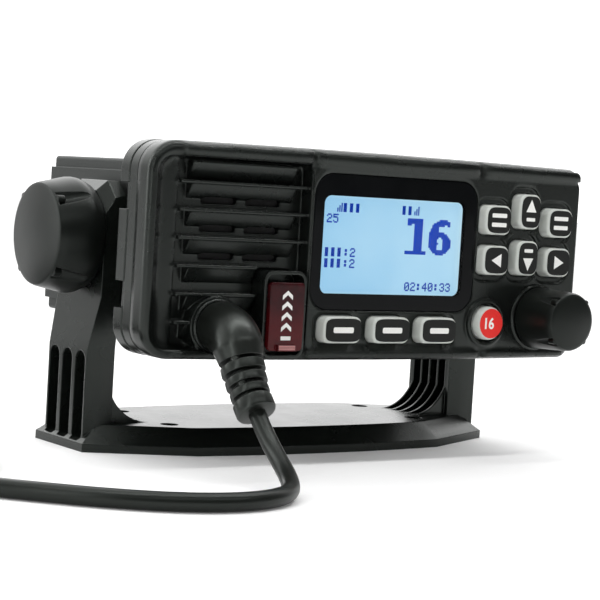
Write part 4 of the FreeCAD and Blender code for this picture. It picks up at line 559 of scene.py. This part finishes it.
# %% The tree for rows of rounded bars
def bar_tree():
    sockets = (("Width", "Float", 0.01), ("Height", "Float", 0.01), ("Corner", "Float", 0.001),
               ("Thickness", "Float", 0.0001), ("Count", "Int", 1), ("Start", "Vector", None),
               ("Step", "Vector", None), ("Paint", "Material", None))
    tree, given = start_tree("row_of_bars", sockets)
    outline = add(tree, "GeometryNodeCurvePrimitiveQuadrilateral",
                  {"Width": given["Width"], "Height": given["Height"]})
    rounded = add(tree, "GeometryNodeFilletCurve", {"Curve": outline.outputs[0], "Radius": given["Corner"]})
    rounded.mode = "POLY"
    rounded.inputs["Count"].default_value = 5
    filled = add(tree, "GeometryNodeFillCurve", {0: rounded.outputs[0]})
    thick = add(tree, "GeometryNodeExtrudeMesh",
                {"Mesh": filled.outputs[0], "Offset Scale": given["Thickness"], "Individual": False})
    back = add(tree, "GeometryNodeFlipFaces", {0: filled.outputs[0]})
    closed = add(tree, "GeometryNodeJoinGeometry")
    tree.links.new(thick.outputs[0], closed.inputs[0])
    tree.links.new(back.outputs[0], closed.inputs[0])
    welded = add(tree, "GeometryNodeMergeByDistance", {"Geometry": closed.outputs[0], "Distance": 0.001 * MM})
    upright = add(tree, "GeometryNodeTransform",
                  {"Geometry": welded.outputs[0], "Rotation": (math.pi / 2, 0, 0)})
    line = add(tree, "GeometryNodeMeshLine",
               {"Count": given["Count"], "Start Location": given["Start"], "Offset": given["Step"]})
    row = add(tree, "GeometryNodeInstanceOnPoints",
              {"Points": line.outputs[0], "Instance": upright.outputs[0]})
    end_tree(tree, row.outputs[0], given["Paint"])
    return tree


BARS = bar_tree()
FILM = 0.05


def bars(name, body, paint, centre, width, height, corner, count=1, step=(0, 0, 0), thickness=FILM):
    """A row of upright rounded bars; centre is a place on the face, at the middle of the first back."""
    corner = min(corner, width / 2.02, height / 2.02)  # just under half a side
    values = {"Width": width * MM, "Height": height * MM, "Corner": corner * MM,
              "Thickness": thickness * MM, "Count": count, "Start": tuple(on_face(*centre)),
              "Step": tuple(Vector(step) * MM), "Paint": paint}
    piece = grow(name, BARS, values)
    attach(piece, body)


# %% [markdown]
# ## Arrows and numbers
# Arrow heads, chevrons and the patches behind the legends are each one outline, so mesh code
# draws it and gives it thickness. Plain numbers come from the built-in font, and are made a mesh
# before their place is applied.


# %% Outlines and numbers
def raised_film(name, paint, corners, lift):
    """A closed film: a flat face through the corners, and a copy of it moved by lift."""
    shape = bmesh.new()
    back = shape.faces.new([shape.verts.new(corner) for corner in corners])
    raised = bmesh.ops.extrude_face_region(shape, geom=[back])
    front = [item for item in raised["geom"] if isinstance(item, bmesh.types.BMVert)]
    bmesh.ops.translate(shape, verts=front, vec=lift)
    bmesh.ops.recalc_face_normals(shape, faces=shape.faces)
    mesh = bpy.data.meshes.new(name)
    shape.to_mesh(mesh)
    shape.free()
    mesh.materials.append(paint)
    return place_mesh(name, mesh)


def outline_film(name, body, paint, points, y):
    """A film whose outline is given by (x, z) places on the face, standing out from depth y."""
    piece = raised_film(name, paint, [on_face(x, y, z) for x, z in points], (0, -FILM * MM, 0))
    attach(piece, body)


ARROW_SIZE = 4.2
TEXT_HALF_DEPTH = 0.02


def arrow(name, body, x, y, z, turn):
    """A solid arrow head; turn is in degrees, and 0 points up."""
    angle = math.radians(turn)
    points = []
    for u, v in ((-0.5, -0.42), (0.5, -0.42), (0.0, 0.52)):
        points.append((x + ARROW_SIZE * (u * math.cos(angle) - v * math.sin(angle)),
                       z + ARROW_SIZE * (u * math.sin(angle) + v * math.cos(angle))))
    outline_film(name, body, INK_WHITE, points, y)


def number(name, body, paint, words, x, z, y, height, narrow=1.0, bold=0.0):
    """Plain figures, with the lower left corner at (x, z) on the face."""
    text = bpy.data.curves.new(name, "FONT")
    text.body = words
    text.offset = bold
    text.extrude = TEXT_HALF_DEPTH
    text.fill_mode = "BOTH"
    mesh = bake(bpy.data.objects.new(name + "_helper", text))
    low = [min(v.co[i] for v in mesh.vertices) for i in range(2)]
    high = [max(v.co[i] for v in mesh.vertices) for i in range(2)]
    scale = height / (high[1] - low[1])
    for v in mesh.vertices:
        u, w = (v.co.x - low[0]) * scale * narrow, (v.co.y - low[1]) * scale
        v.co = on_face(x + u, y - (v.co.z + TEXT_HALF_DEPTH) / (2 * TEXT_HALF_DEPTH) * FILM, z + w)
    mesh.name = name
    mesh.materials.clear()
    mesh.materials.append(paint)
    piece = place_mesh(name, mesh)
    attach(piece, body)


# %% [markdown]
# ## Legends on the keys
# The side keys of the upper row carry two short bars each, the middle keys an arrow with a bar,
# and the lower side keys an arrow. A black patch lies behind each legend. It sits toward the
# key's right, the way the print leaves a wider pale side.

# %% Print the pad keys
KEY_FRONT = -4.0
RIM = 0.55
PRINT_SHIFT = 0.15
HIDDEN_LIP = 0.8
BARREL_POINTS = 48


def key_face(node):
    """Centre x, centre z, width and height of a key cap, in face millimetres."""
    low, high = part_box(node)
    centre = (Vector(low) + Vector(high)) / 2 / MM - FACE_ORIGIN
    width, height = ((high[i] - low[i]) / MM - 2 * HIDDEN_LIP for i in (0, 2))
    return centre.x, centre.z, width, height


def barrel(x, z, width, height, power):
    """Points of a barrel-sided outline, between an ellipse (power 2) and a rectangle."""
    points = []
    for i in range(BARREL_POINTS):
        angle = 2 * math.pi * (i + 0.5) / BARREL_POINTS
        u, v = math.cos(angle), math.sin(angle)
        points.append((x + width / 2 * math.copysign(abs(u) ** (2 / power), u),
                       z + height / 2 * math.copysign(abs(v) ** (2 / power), v)))
    return points


def patch(node, body, paint, power, rim=RIM):
    x, z, width, height = key_face(node)
    points = barrel(x + PRINT_SHIFT, z, width - 2 * rim, height - 2 * rim, power)
    outline_film(node + "_patch", body, paint, points, KEY_FRONT)


LEGEND_Y = KEY_FRONT - FILM
PAD_POWER, SOFT_POWER, ROUND_POWER = 3.6, 4.5, 2.0
ARROW_RISE, BAR_DROP = 1.7, 2.4
# Width, height and corner of the printed bars.
SHORT_BAR, LONG_BAR, SOFT_BAR = (3.6, 1.1, 0.3), (6.0, 1.3, 0.3), (7.4, 1.7, 0.5)
LONG_BAR_STEP = 2.9
for row in ("top", "low"):
    for column in ("left", "mid", "right"):
        node = "pad_key_" + row + "_" + column
        body = "pad_" + row + "_" + column
        x, z, *_ = key_face(node)
        x += PRINT_SHIFT
        patch(node, body, INK_BLACK, PAD_POWER)
        if column == "mid":
            way = 1 if row == "top" else -1
            arrow(node + "_arrow", body, x, LEGEND_Y, z + way * ARROW_RISE, 90 - 90 * way)
            bars(node + "_bar", body, INK_WHITE, (x, LEGEND_Y, z - way * BAR_DROP), *SHORT_BAR)
        elif row == "low":
            arrow(node + "_arrow", body, x, LEGEND_Y, z, 90 if column == "left" else -90)
        else:
            bars(node + "_bars", body, INK_WHITE, (x, LEGEND_Y, z - LONG_BAR_STEP / 2), *LONG_BAR,
                 count=2, step=(0, 0, LONG_BAR_STEP))

# %% Print the soft keys and the red key
SOFT_RIM = 0.5
for column in ("left", "mid", "right"):
    node, body = "soft_key_" + column, "soft_" + column
    x, z, *_ = key_face(node)
    x += PRINT_SHIFT
    patch(node, body, INK_BLACK, SOFT_POWER, SOFT_RIM)
    bars(node + "_bar", body, INK_WHITE, (x, LEGEND_Y, z), *SOFT_BAR)
patch("red_key", "red", INK_RED, ROUND_POWER)
x, z, *_ = key_face("red_key")
number("red_key_number", "red", INK_WHITE, "16", x - 2.4, z - 1.75, LEGEND_Y, height=3.6, narrow=0.95,
       bold=0.025)

# %% [markdown]
# ## Display
# The display is a stack: a white backlight, the glass panel, and a glossy lens whose back is
# printed black outside its window. The panel itself shines, pale blue and a little uneven. The
# figures stand on its front as thin dark-blue shapes, so the depth between lens and panel shows
# when the view moves. The lens is one material: a rounded-rectangle mask picks black or clear.


# %% The lit panel
PANEL_LEFT, PANEL_RIGHT, PANEL_LOW, PANEL_HIGH = -24, 34, -12, 19
BRIGHTEST_HEIGHT, BORDER_GLOW = 0.55, 0.5


def panel_light():
    """Pale blue that grows brighter to the right, towards the middle height and at the borders."""
    material, tree, bsdf, place = start_material("display_blue")
    parts = add(tree, "ShaderNodeSeparateXYZ", {0: place}).outputs
    left, right = on_face(PANEL_LEFT, 0, 0).x, on_face(PANEL_RIGHT, 0, 0).x
    low, high = on_face(0, 0, PANEL_LOW).z, on_face(0, 0, PANEL_HIGH).z
    across = remap(tree, parts["X"], left, right, 0.0, 1.0)
    rise = remap(tree, parts["Z"], low, high, 0.0, 1.0)
    away = calculate(tree, "ABSOLUTE", calculate(tree, "SUBTRACT", rise, BRIGHTEST_HEIGHT))
    middle = calculate(tree, "SUBTRACT", 1.0, away)
    level = calculate(tree, "ADD", calculate(tree, "MULTIPLY", across, 0.45),
                      calculate(tree, "MULTIPLY", middle, 0.35))
    level = calculate(tree, "ADD", level, spread(tree, noise(tree, place, 16, 2), -0.08, 0.08))
    borders = ((across, 0.06, 0.0), (across, 0.94, 1.0), (rise, 0.05, 0.0), (rise, 0.93, 1.0))
    for way, inner, outer in borders:
        level = calculate(tree, "ADD", level, remap(tree, way, inner, outer, 0.0, BORDER_GLOW))
    fill(tree, bsdf, {
        "Base Color": (0.05, 0.08, 0.12, 1), "Roughness": 0.4,
        "Emission Color": blend_colour(tree, level, (0.20, 0.50, 0.76), (0.50, 0.76, 0.90)),
        "Emission Strength": 0.92})
    return material


dress(panel_light(), "lcd_panel")
print("panel:", PANEL_RIGHT - PANEL_LEFT, "by", PANEL_HIGH - PANEL_LOW, "mm")


# %% The lens and its window
WINDOW_LEFT, WINDOW_WIDTH, WINDOW_LOW, WINDOW_HEIGHT, WINDOW_CORNER = -22.0, 53.9, -11.2, 29.0, 2.4
ANY_DEPTH = 1000


def window_mask(tree, place):
    """1 inside the window: within the corner's radius of a rectangle that much smaller all round."""
    centre = on_face(WINDOW_LEFT + WINDOW_WIDTH / 2, 0, WINDOW_LOW + WINDOW_HEIGHT / 2)
    half = Vector((WINDOW_WIDTH / 2 - WINDOW_CORNER, ANY_DEPTH, WINDOW_HEIGHT / 2 - WINDOW_CORNER)) * MM
    folded = calculate_vector(tree, "ABSOLUTE", calculate_vector(tree, "SUBTRACT", place, centre))
    beyond = calculate_vector(tree, "SUBTRACT", folded, half)
    beyond = calculate_vector(tree, "MAXIMUM", beyond, (0, 0, 0))
    reach = calculate_vector(tree, "LENGTH", beyond)
    return calculate(tree, "LESS_THAN", reach, WINDOW_CORNER * MM)


def lens_acrylic():
    material, tree, bsdf, place = start_material("lens_acrylic")
    fill(tree, bsdf, {
        "Base Color": (0.004, 0.0045, 0.005, 1),
        "Roughness": remap(tree, noise(tree, place, 9, 3), 0.35, 0.7, 0.04, 0.12),
        "Specular IOR Level": 0.08,
        "Normal": rounded_edge(tree, 0.5, 8)})
    clear = add(tree, "ShaderNodeBsdfTransparent")
    shine = add(tree, "ShaderNodeBsdfGlossy", {"Roughness": 0.05})
    fresnel = add(tree, "ShaderNodeFresnel", {"IOR": 1.2}).outputs[0]
    glass = add(tree, "ShaderNodeMixShader", {0: fresnel, 1: clear.outputs[0], 2: shine.outputs[0]})
    both = add(tree, "ShaderNodeMixShader",
               {0: window_mask(tree, place), 1: bsdf.outputs[0], 2: glass.outputs[0]})
    tree.links.new(both.outputs[0], tree.nodes["Material Output"].inputs["Surface"])
    return material


dress(lens_acrylic(), "display_lens")
print("window:", WINDOW_WIDTH, "by", WINDOW_HEIGHT, "mm")

# %% [markdown]
# ## Figures made of dots
# A panel of this kind is a grid of small square dots, and each figure lights some of them. So a
# figure is a set of lit cells: the small ones are five by seven patterns, and the big ones come
# from a rule that says whether a place in the figure is ink. A Geometry Nodes tree then sets one
# thin square on every lit cell.


# %% The dot tree
def dot_tree():
    sockets = (("Dot", "Float", 0.0003), ("Thickness", "Float", 0.00002), ("Paint", "Material", None))
    tree, given = start_tree("display_dots", sockets)
    size = add(tree, "ShaderNodeCombineXYZ", {0: given["Dot"], 1: given["Thickness"], 2: given["Dot"]})
    square = add(tree, "GeometryNodeMeshCube", {"Size": size.outputs[0]})
    cells = add(tree, "GeometryNodeMeshToPoints", {0: given["Geometry"]})
    dots = add(tree, "GeometryNodeInstanceOnPoints",
               {"Points": cells.outputs[0], "Instance": square.outputs[0]})
    end_tree(tree, dots.outputs[0], given["Paint"])
    return tree


DOTS = dot_tree()
INK_BLUE = ink("display_figures", (0.002, 0.055, 0.50), 0.5, 0.25)
PANEL_FRONT = 1.6
DOT_THICKNESS = 0.02


def light(name, cells, x, z, pitch, share=1.0):
    """Squares for lit cells (column, row from below), with the lower left cell at (x, z) on the face."""
    y = PANEL_FRONT - DOT_THICKNESS / 2
    seats = bpy.data.meshes.new(name + "_cells")
    seats.from_pydata([on_face(x + (c + 0.5) * pitch, y, z + (r + 0.5) * pitch) for c, r in cells], [], [])
    values = {"Dot": pitch * share * MM, "Thickness": DOT_THICKNESS * MM, "Paint": INK_BLUE}
    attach(grow(name, DOTS, values, seats), "radio")
    return len(cells)


# %% Small figures
SMALL = {
    "0": (".###.", "#...#", "#..##", "#.#.#", "##..#", "#...#", ".###."),
    "2": (".###.", "#...#", "....#", "..##.", ".#...", "#....", "#####"),
    "3": (".###.", "#...#", "....#", "..##.", "....#", "#...#", ".###."),
    "4": ("...#.", "..##.", ".#.#.", "#..#.", "#####", "...#.", "...#."),
    "5": ("#####", "#....", "####.", "....#", "....#", "#...#", ".###."),
    ":": (".....", ".##..", ".##..", ".....", ".##..", ".##..", "....."),
    "|": ("###..",) * 7,
    "^": ("....#", "....#", "..#.#", "..#.#", "#.#.#", "#.#.#", "#.#.#"),
}
SMALL_PITCH, SMALL_ADVANCE, SMALL_FILL = 0.37, 6.25, 1.3
TOP_ROW = 6


def small_cells(words):
    cells = []
    for place, letter in enumerate(words):
        for row, pattern in enumerate(SMALL[letter]):
            lit_columns = [column for column, mark in enumerate(pattern) if mark == "#"]
            cells += [(place * SMALL_ADVANCE + column, TOP_ROW - row) for column in lit_columns]
    return cells


SMALL_FIGURES = (("clock_number", "02:40:33", 11.5, -10.0), ("output_number", "25", -19.2, 9.8),
                 ("mode_bars", "^|||", -15.6, 13.1), ("memory_bars", "||^", 9.0, 13.2),
                 ("level_upper", "|||:2", -19.2, -0.2), ("level_lower", "|||:2", -19.2, -3.5))
lit = 0
for name, words, x, z in SMALL_FIGURES:
    lit += light(name, small_cells(words), x, z, SMALL_PITCH, SMALL_FILL)
print("small dots lit:", lit)


# %% Big figures
def inside(u, v, centre_u, centre_v, half_u, half_v):
    return ((u - centre_u) / half_u) ** 2 + ((v - centre_v) / half_v) ** 2 <= 1


def in_one(u, v):
    """Foot, stem and flag of a 1, in its own square from 0 to 1."""
    flag = 0.04 < u <= 0.5 and v > 0.80 + 0.10 * u
    return v < 0.10 or 0.38 < u < 0.80 or flag


def in_six(u, v):
    """Bowl and back of a 6: ovals with their middles taken out."""
    bowl = inside(u, v, 0.5, 0.32, 0.5, 0.325) and not inside(u, v, 0.5, 0.32, 0.15, 0.19)
    back = inside(u, v, 0.62, 0.5, 0.62, 0.5) and not inside(u, v, 0.72, 0.50, 0.36, 0.33)
    return bowl or (back and v > 0.3 and u < 0.93 and (u < 0.42 or v > 0.80))


def big_cells(rule, columns, rows):
    cells = [(c, r) for c in range(columns) for r in range(rows)]
    return [(c, r) for c, r in cells if rule((c + 0.5) / columns, (r + 0.5) / rows)]


BIG_PITCH, BIG_ROWS, BIG_FOOT = 0.55, 20, 1.2
BIG_FIGURES = (("channel_number_1", in_one, 15, 10.7), ("channel_number_6", in_six, 16, 19.9))
lit = 0
for name, rule, columns, x in BIG_FIGURES:
    lit += light(name, big_cells(rule, columns, BIG_ROWS), x, BIG_FOOT, BIG_PITCH)
print("big dots lit:", lit)

# %% [markdown]
# ## Guard of the alert key
# The guard is a clear red moulding over the key, hinged at its top. It is darker near the hinge
# than at its foot, and its colour gets a slow mottle under a thin clear coat. A generic sign
# stands in the middle: chevrons that show which way the guard lifts. The tab at its foot is
# paler and ridged.


# %% Red guard
def guard_red():
    material, tree, bsdf, place = start_material("guard_red")
    parts = add(tree, "ShaderNodeSeparateXYZ", {0: place}).outputs
    low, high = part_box("alert_cover")[0][2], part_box("alert_cover")[1][2]
    rise = remap(tree, parts["Z"], low, high, 0.0, 1.0)
    mottle = noise(tree, place, 3.0, 4)
    paler = calculate(tree, "ADD", spread(tree, mottle, 0.0, 0.25), remap(tree, rise, 0.7, 0.35, 0.1, 0.7))
    edge = rounded_edge(tree, 0.4, 8)
    fill(tree, bsdf, {
        "Base Color": blend_colour(tree, paler, (0.016, 0.003, 0.004), (0.085, 0.003, 0.005)),
        "Roughness": 0.16, "Specular IOR Level": 0.12,
        "Coat Weight": 0.12, "Coat Roughness": 0.05, "Coat Normal": edge,
        "Normal": bumped(tree, mottle, 0.01, edge)})
    return material


dress(guard_red(), "alert_cover")

# %% Sign and tab of the guard
GUARD_X, GUARD_FRONT, TAB_FRONT = -34.5, -2.7, -3.7
CHEVRON_HALF, CHEVRON_RISE, CHEVRON_BAND, CHEVRON_PITCH, CHEVRON_LOW = 1.75, 1.4, 1.25, 3.1, -22.4
CHEVRON_BEND = ((-CHEVRON_HALF, 0), (0, CHEVRON_RISE), (CHEVRON_HALF, 0))
for i in range(4):
    foot = CHEVRON_LOW + i * CHEVRON_PITCH
    lower = [(GUARD_X + u, foot + v) for u, v in CHEVRON_BEND]
    upper = [(x, z + CHEVRON_BAND) for x, z in reversed(lower)]
    outline_film("guard_chevron_" + str(i + 1), "cover", INK_WHITE, lower + upper, GUARD_FRONT)
bars("guard_bar", "cover", INK_WHITE, (GUARD_X, GUARD_FRONT, -24.3), width=3.5, height=1.15, corner=0.2)
TAB_INK = ink("tab_pink", (0.62, 0.30, 0.29), 0.4)
bars("guard_tab_ridges", "cover", TAB_INK, (GUARD_X, TAB_FRONT, -27.5), width=5.7, height=0.32,
     corner=0.12, count=3, step=(0, 0, 0.5), thickness=0.12)

# %% [markdown]
# ## Cord
# The cord leaves the boot, drops to the floor and runs to its coil, and from the coil to the
# microphone. It is one NURBS line, because a soft round cord bends smoothly everywhere. The
# coil's turns are points of the same line, worked out by a loop: three turns inward on the
# floor, a climb, and three turns outward on top. A Geometry Nodes tree sweeps the section.

# %% The cord's route
CORD_DIAMETER = 5.0
CORD_EXIT = [(-56.6, -75.52, 19.13), (-56.6, -79.53, 14.67)]
CORD_POINTS = [(-56.8, -86.6, 8.9), (-58.2, -94.4, 4.9), (-62.8, -103.0, 2.75), (-71.6, -110.0, 2.55),
               (-84.2, -113.0, 2.55), (-99.0, -109.4, 2.55), (-114.0, -99.2, 2.55), (-128.5, -84.4, 2.55),
               (-142.3, -68.3, 2.55), (-155.6, -53.6, 2.55)]
TAIL_POINTS = [(-176.8, -8.2, 7.7), (-173.0, 3.8, 9.2), (-168.0, 14.5, 11.0), (-165.0, 25.5, 12.0),
               (-165.0, 36.0, 12.0)]
COIL_CENTRE = (-147.0, -20.0)
COIL_RADII = (30.0, 25.0, 20.0, 20.0, 25.0, 30.0)
TURNS_IN_LAYER = 3
LAST_TURN = len(COIL_RADII) - 1
POINTS_PER_TURN = 20
# Degrees: where the first turn starts, and how far the last one runs on past six whole turns.
COIL_START, COIL_RUN_ON = 225, 45
EASE_FROM, EASE_RATE = 5 / 6, 6


def coil_points():
    """Six turns that go round to the right, each easing into the next over its last sixth."""
    points = []
    step = 360 / POINTS_PER_TURN
    # The line runs a little inside its points, so they stand wider by this share.
    tighter = 0.75 + 0.25 * math.cos(math.radians(step))
    steps = len(COIL_RADII) * POINTS_PER_TURN + round(COIL_RUN_ON / step)
    for i in range(steps + 1):
        turn, part = min(i // POINTS_PER_TURN, LAST_TURN), (i % POINTS_PER_TURN) / POINTS_PER_TURN
        after = min(turn + 1, LAST_TURN)
        ease = max(0.0, (part - EASE_FROM) * EASE_RATE) if turn < LAST_TURN else 0.0
        reach = (COIL_RADII[turn] + (COIL_RADII[after] - COIL_RADII[turn]) * ease) / tighter
        low, high = (0.5 + (t >= TURNS_IN_LAYER) for t in (turn, after))
        height = CORD_DIAMETER * (low + (high - low) * ease)
        angle = math.radians(COIL_START - i * step)
        x, y = COIL_CENTRE[0] + reach * math.cos(angle), COIL_CENTRE[1] + reach * math.sin(angle)
        points.append((x, y, height))
    return points


route = CORD_EXIT + CORD_POINTS + coil_points() + TAIL_POINTS
line = bpy.data.curves.new("cord_route", "CURVE")
line.dimensions = "3D"
line.resolution_u = 6
spline = line.splines.new("NURBS")
spline.points.add(len(route) - 1)
for point, place in zip(spline.points, route):
    point.co = (*(c * MM for c in place), 1)
spline.order_u = 3
spline.use_endpoint_u = True
wire = bake(bpy.data.objects.new("cord_route", line))


# %% Sweep the cord
def sweep(tree, path, radius, sides):
    """A round section along a curve, with closed ends."""
    section = add(tree, "GeometryNodeCurvePrimitiveCircle", {"Resolution": sides, "Radius": radius})
    return add(tree, "GeometryNodeCurveToMesh",
               {"Curve": path, "Profile Curve": section.outputs[0], "Fill Caps": True}).outputs[0]


def tube_tree():
    sockets = (("Radius", "Float", 0.0025), ("Sides", "Int", 16), ("Paint", "Material", None))
    tree, given = start_tree("tube_on_a_line", sockets)
    swept = sweep(tree, given["Geometry"], given["Radius"], given["Sides"])
    smooth = add(tree, "GeometryNodeSetShadeSmooth", {"Geometry": swept, "Shade Smooth": True})
    end_tree(tree, smooth.outputs[0], given["Paint"])
    return tree


TUBES = tube_tree()
cord = grow("mic_cord", TUBES, {"Radius": CORD_DIAMETER / 2 * MM, "Sides": 18, "Paint": CORD}, line)
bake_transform(cord)
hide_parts("mic_cord_tube", "mic_cord_coil", "mic_cord_tail")
print("cord has", len(cord.data.polygons), "faces")


# %% [markdown]
# ## Thread of the antenna socket
# A screw-on plug grips a thread on the socket's barrel. A thread is a helix, so a Spiral curve
# with a thin section draws it, one turn for each pitch.


# %% Antenna thread
def thread_tree():
    sockets = (("Radius", "Float", 0.0079), ("Length", "Float", 0.01), ("Turns", "Float", 8.0),
               ("Ridge", "Float", 0.0003), ("Start", "Vector", None), ("Paint", "Material", None))
    tree, given = start_tree("thread", sockets)
    path = add(tree, "GeometryNodeCurveSpiral",
               {"Resolution": 40, "Rotations": given["Turns"], "Start Radius": given["Radius"],
                "End Radius": given["Radius"], "Height": given["Length"]})
    ridge = sweep(tree, path.outputs[0], given["Ridge"], 8)
    along_y = add(tree, "GeometryNodeTransform", {
        "Geometry": ridge, "Translation": given["Start"], "Rotation": (-math.pi / 2, 0, 0)})
    end_tree(tree, along_y.outputs[0], given["Paint"])
    return tree


THREAD_LENGTH, THREAD_PITCH, THREAD_RADIUS, THREAD_RIDGE, THREAD_SETBACK = 10.5, 1.06, 7.85, 0.32, 0.8
socket_low, socket_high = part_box("antenna_socket")
socket_middle = (Vector(socket_low) + Vector(socket_high)) / 2
thread_y = socket_high[1] - (THREAD_LENGTH + THREAD_SETBACK) * MM
thread_start = Vector((socket_middle.x, thread_y, socket_middle.z))
thread = grow("antenna_thread", thread_tree(), {
    "Radius": THREAD_RADIUS * MM, "Length": THREAD_LENGTH * MM, "Turns": THREAD_LENGTH / THREAD_PITCH,
    "Ridge": THREAD_RIDGE * MM, "Start": tuple(thread_start), "Paint": NICKEL})
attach(thread, "radio")
print("thread turns:", round(THREAD_LENGTH / THREAD_PITCH, 1))


# %% [markdown]
# ## Screw heads
# The four screws that hold the case together have cross recesses. Each head gets a thin dark
# cross of painted shade where the recess is, made once and set on one point for each screw.


# %% Painted shade in the cross recesses
def cross_tree():
    sockets = (("Reach", "Float", 0.0032), ("Band", "Float", 0.0008), ("Depth", "Float", 0.0001),
               ("Tilt", "Rotation", None), ("Paint", "Material", None))
    tree, given = start_tree("cross_on_points", sockets)
    long_way = add(tree, "ShaderNodeCombineXYZ", {0: given["Reach"], 1: given["Band"], 2: given["Depth"]})
    short_way = add(tree, "ShaderNodeCombineXYZ", {0: given["Band"], 1: given["Reach"], 2: given["Depth"]})
    cross = add(tree, "GeometryNodeJoinGeometry")
    for size in (long_way, short_way):
        bar = add(tree, "GeometryNodeMeshCube", {"Size": size.outputs[0]})
        tree.links.new(bar.outputs[0], cross.inputs[0])
    points = add(tree, "GeometryNodeMeshToPoints", {0: given["Geometry"]})
    crosses = add(tree, "GeometryNodeInstanceOnPoints", {
        "Points": points.outputs[0], "Instance": cross.outputs[0], "Rotation": given["Tilt"]})
    end_tree(tree, crosses.outputs[0], given["Paint"])
    return tree


CROSSES = cross_tree()
# The crosses are painted shade: a dark film where the recess would lie in shadow.
RECESS_PAINTED_SHADE = ink("recess_shadow", (0.012, 0.012, 0.012), 0.6)


def screw_crosses(name, body, places, tilt):
    seats = bpy.data.meshes.new(name + "_seats")
    seats.from_pydata(places, [], [])
    values = {"Reach": 3.0 * MM, "Band": 0.7 * MM, "Depth": 0.06 * MM, "Tilt": tilt, "Paint": RECESS_PAINTED_SHADE}
    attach(grow(name, CROSSES, values, seats), body)


CASE_SCREW_X, CASE_SCREW_Z, CASE_SCREW_BACK = 75.0, 24.6, 17.2
CROSS_TURN = math.radians(20)
case_places = [on_face(side * CASE_SCREW_X, CASE_SCREW_BACK, level * CASE_SCREW_Z)
               for side in (-1, 1) for level in (-1, 1)]
screw_crosses("case_screw_crosses", "radio", case_places, (math.pi / 2, 0, CROSS_TURN))
print("case screws:", len(case_places))

# %% [markdown]
# ## Microphone keys
# The two channel keys of the microphone carry an arrow each, up and down.


# %% Microphone legends
MIC_ARROW_SIZE = 2.6 * MM


def flat_arrow(name, body, node, way):
    """An arrow head that lies on top of a node; way is 1 for up and -1 for down."""
    low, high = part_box(node)
    x, y, z = (low[0] + high[0]) / 2, (low[1] + high[1]) / 2, high[2]
    half, foot = MIC_ARROW_SIZE / 2, y - way * MIC_ARROW_SIZE * 0.4
    corners = [(x - half, foot, z), (x + half, foot, z), (x, y + way * MIC_ARROW_SIZE * 0.5, z)]
    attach(raised_film(name, INK_WHITE, corners, (0, 0, FILM * MM)), body)


dress(MIC, "mic_down_key", "mic_up_key")
flat_arrow("mic_up_arrow", "mic_up", "mic_up_key", 1)
flat_arrow("mic_down_arrow", "mic_down", "mic_down_key", -1)
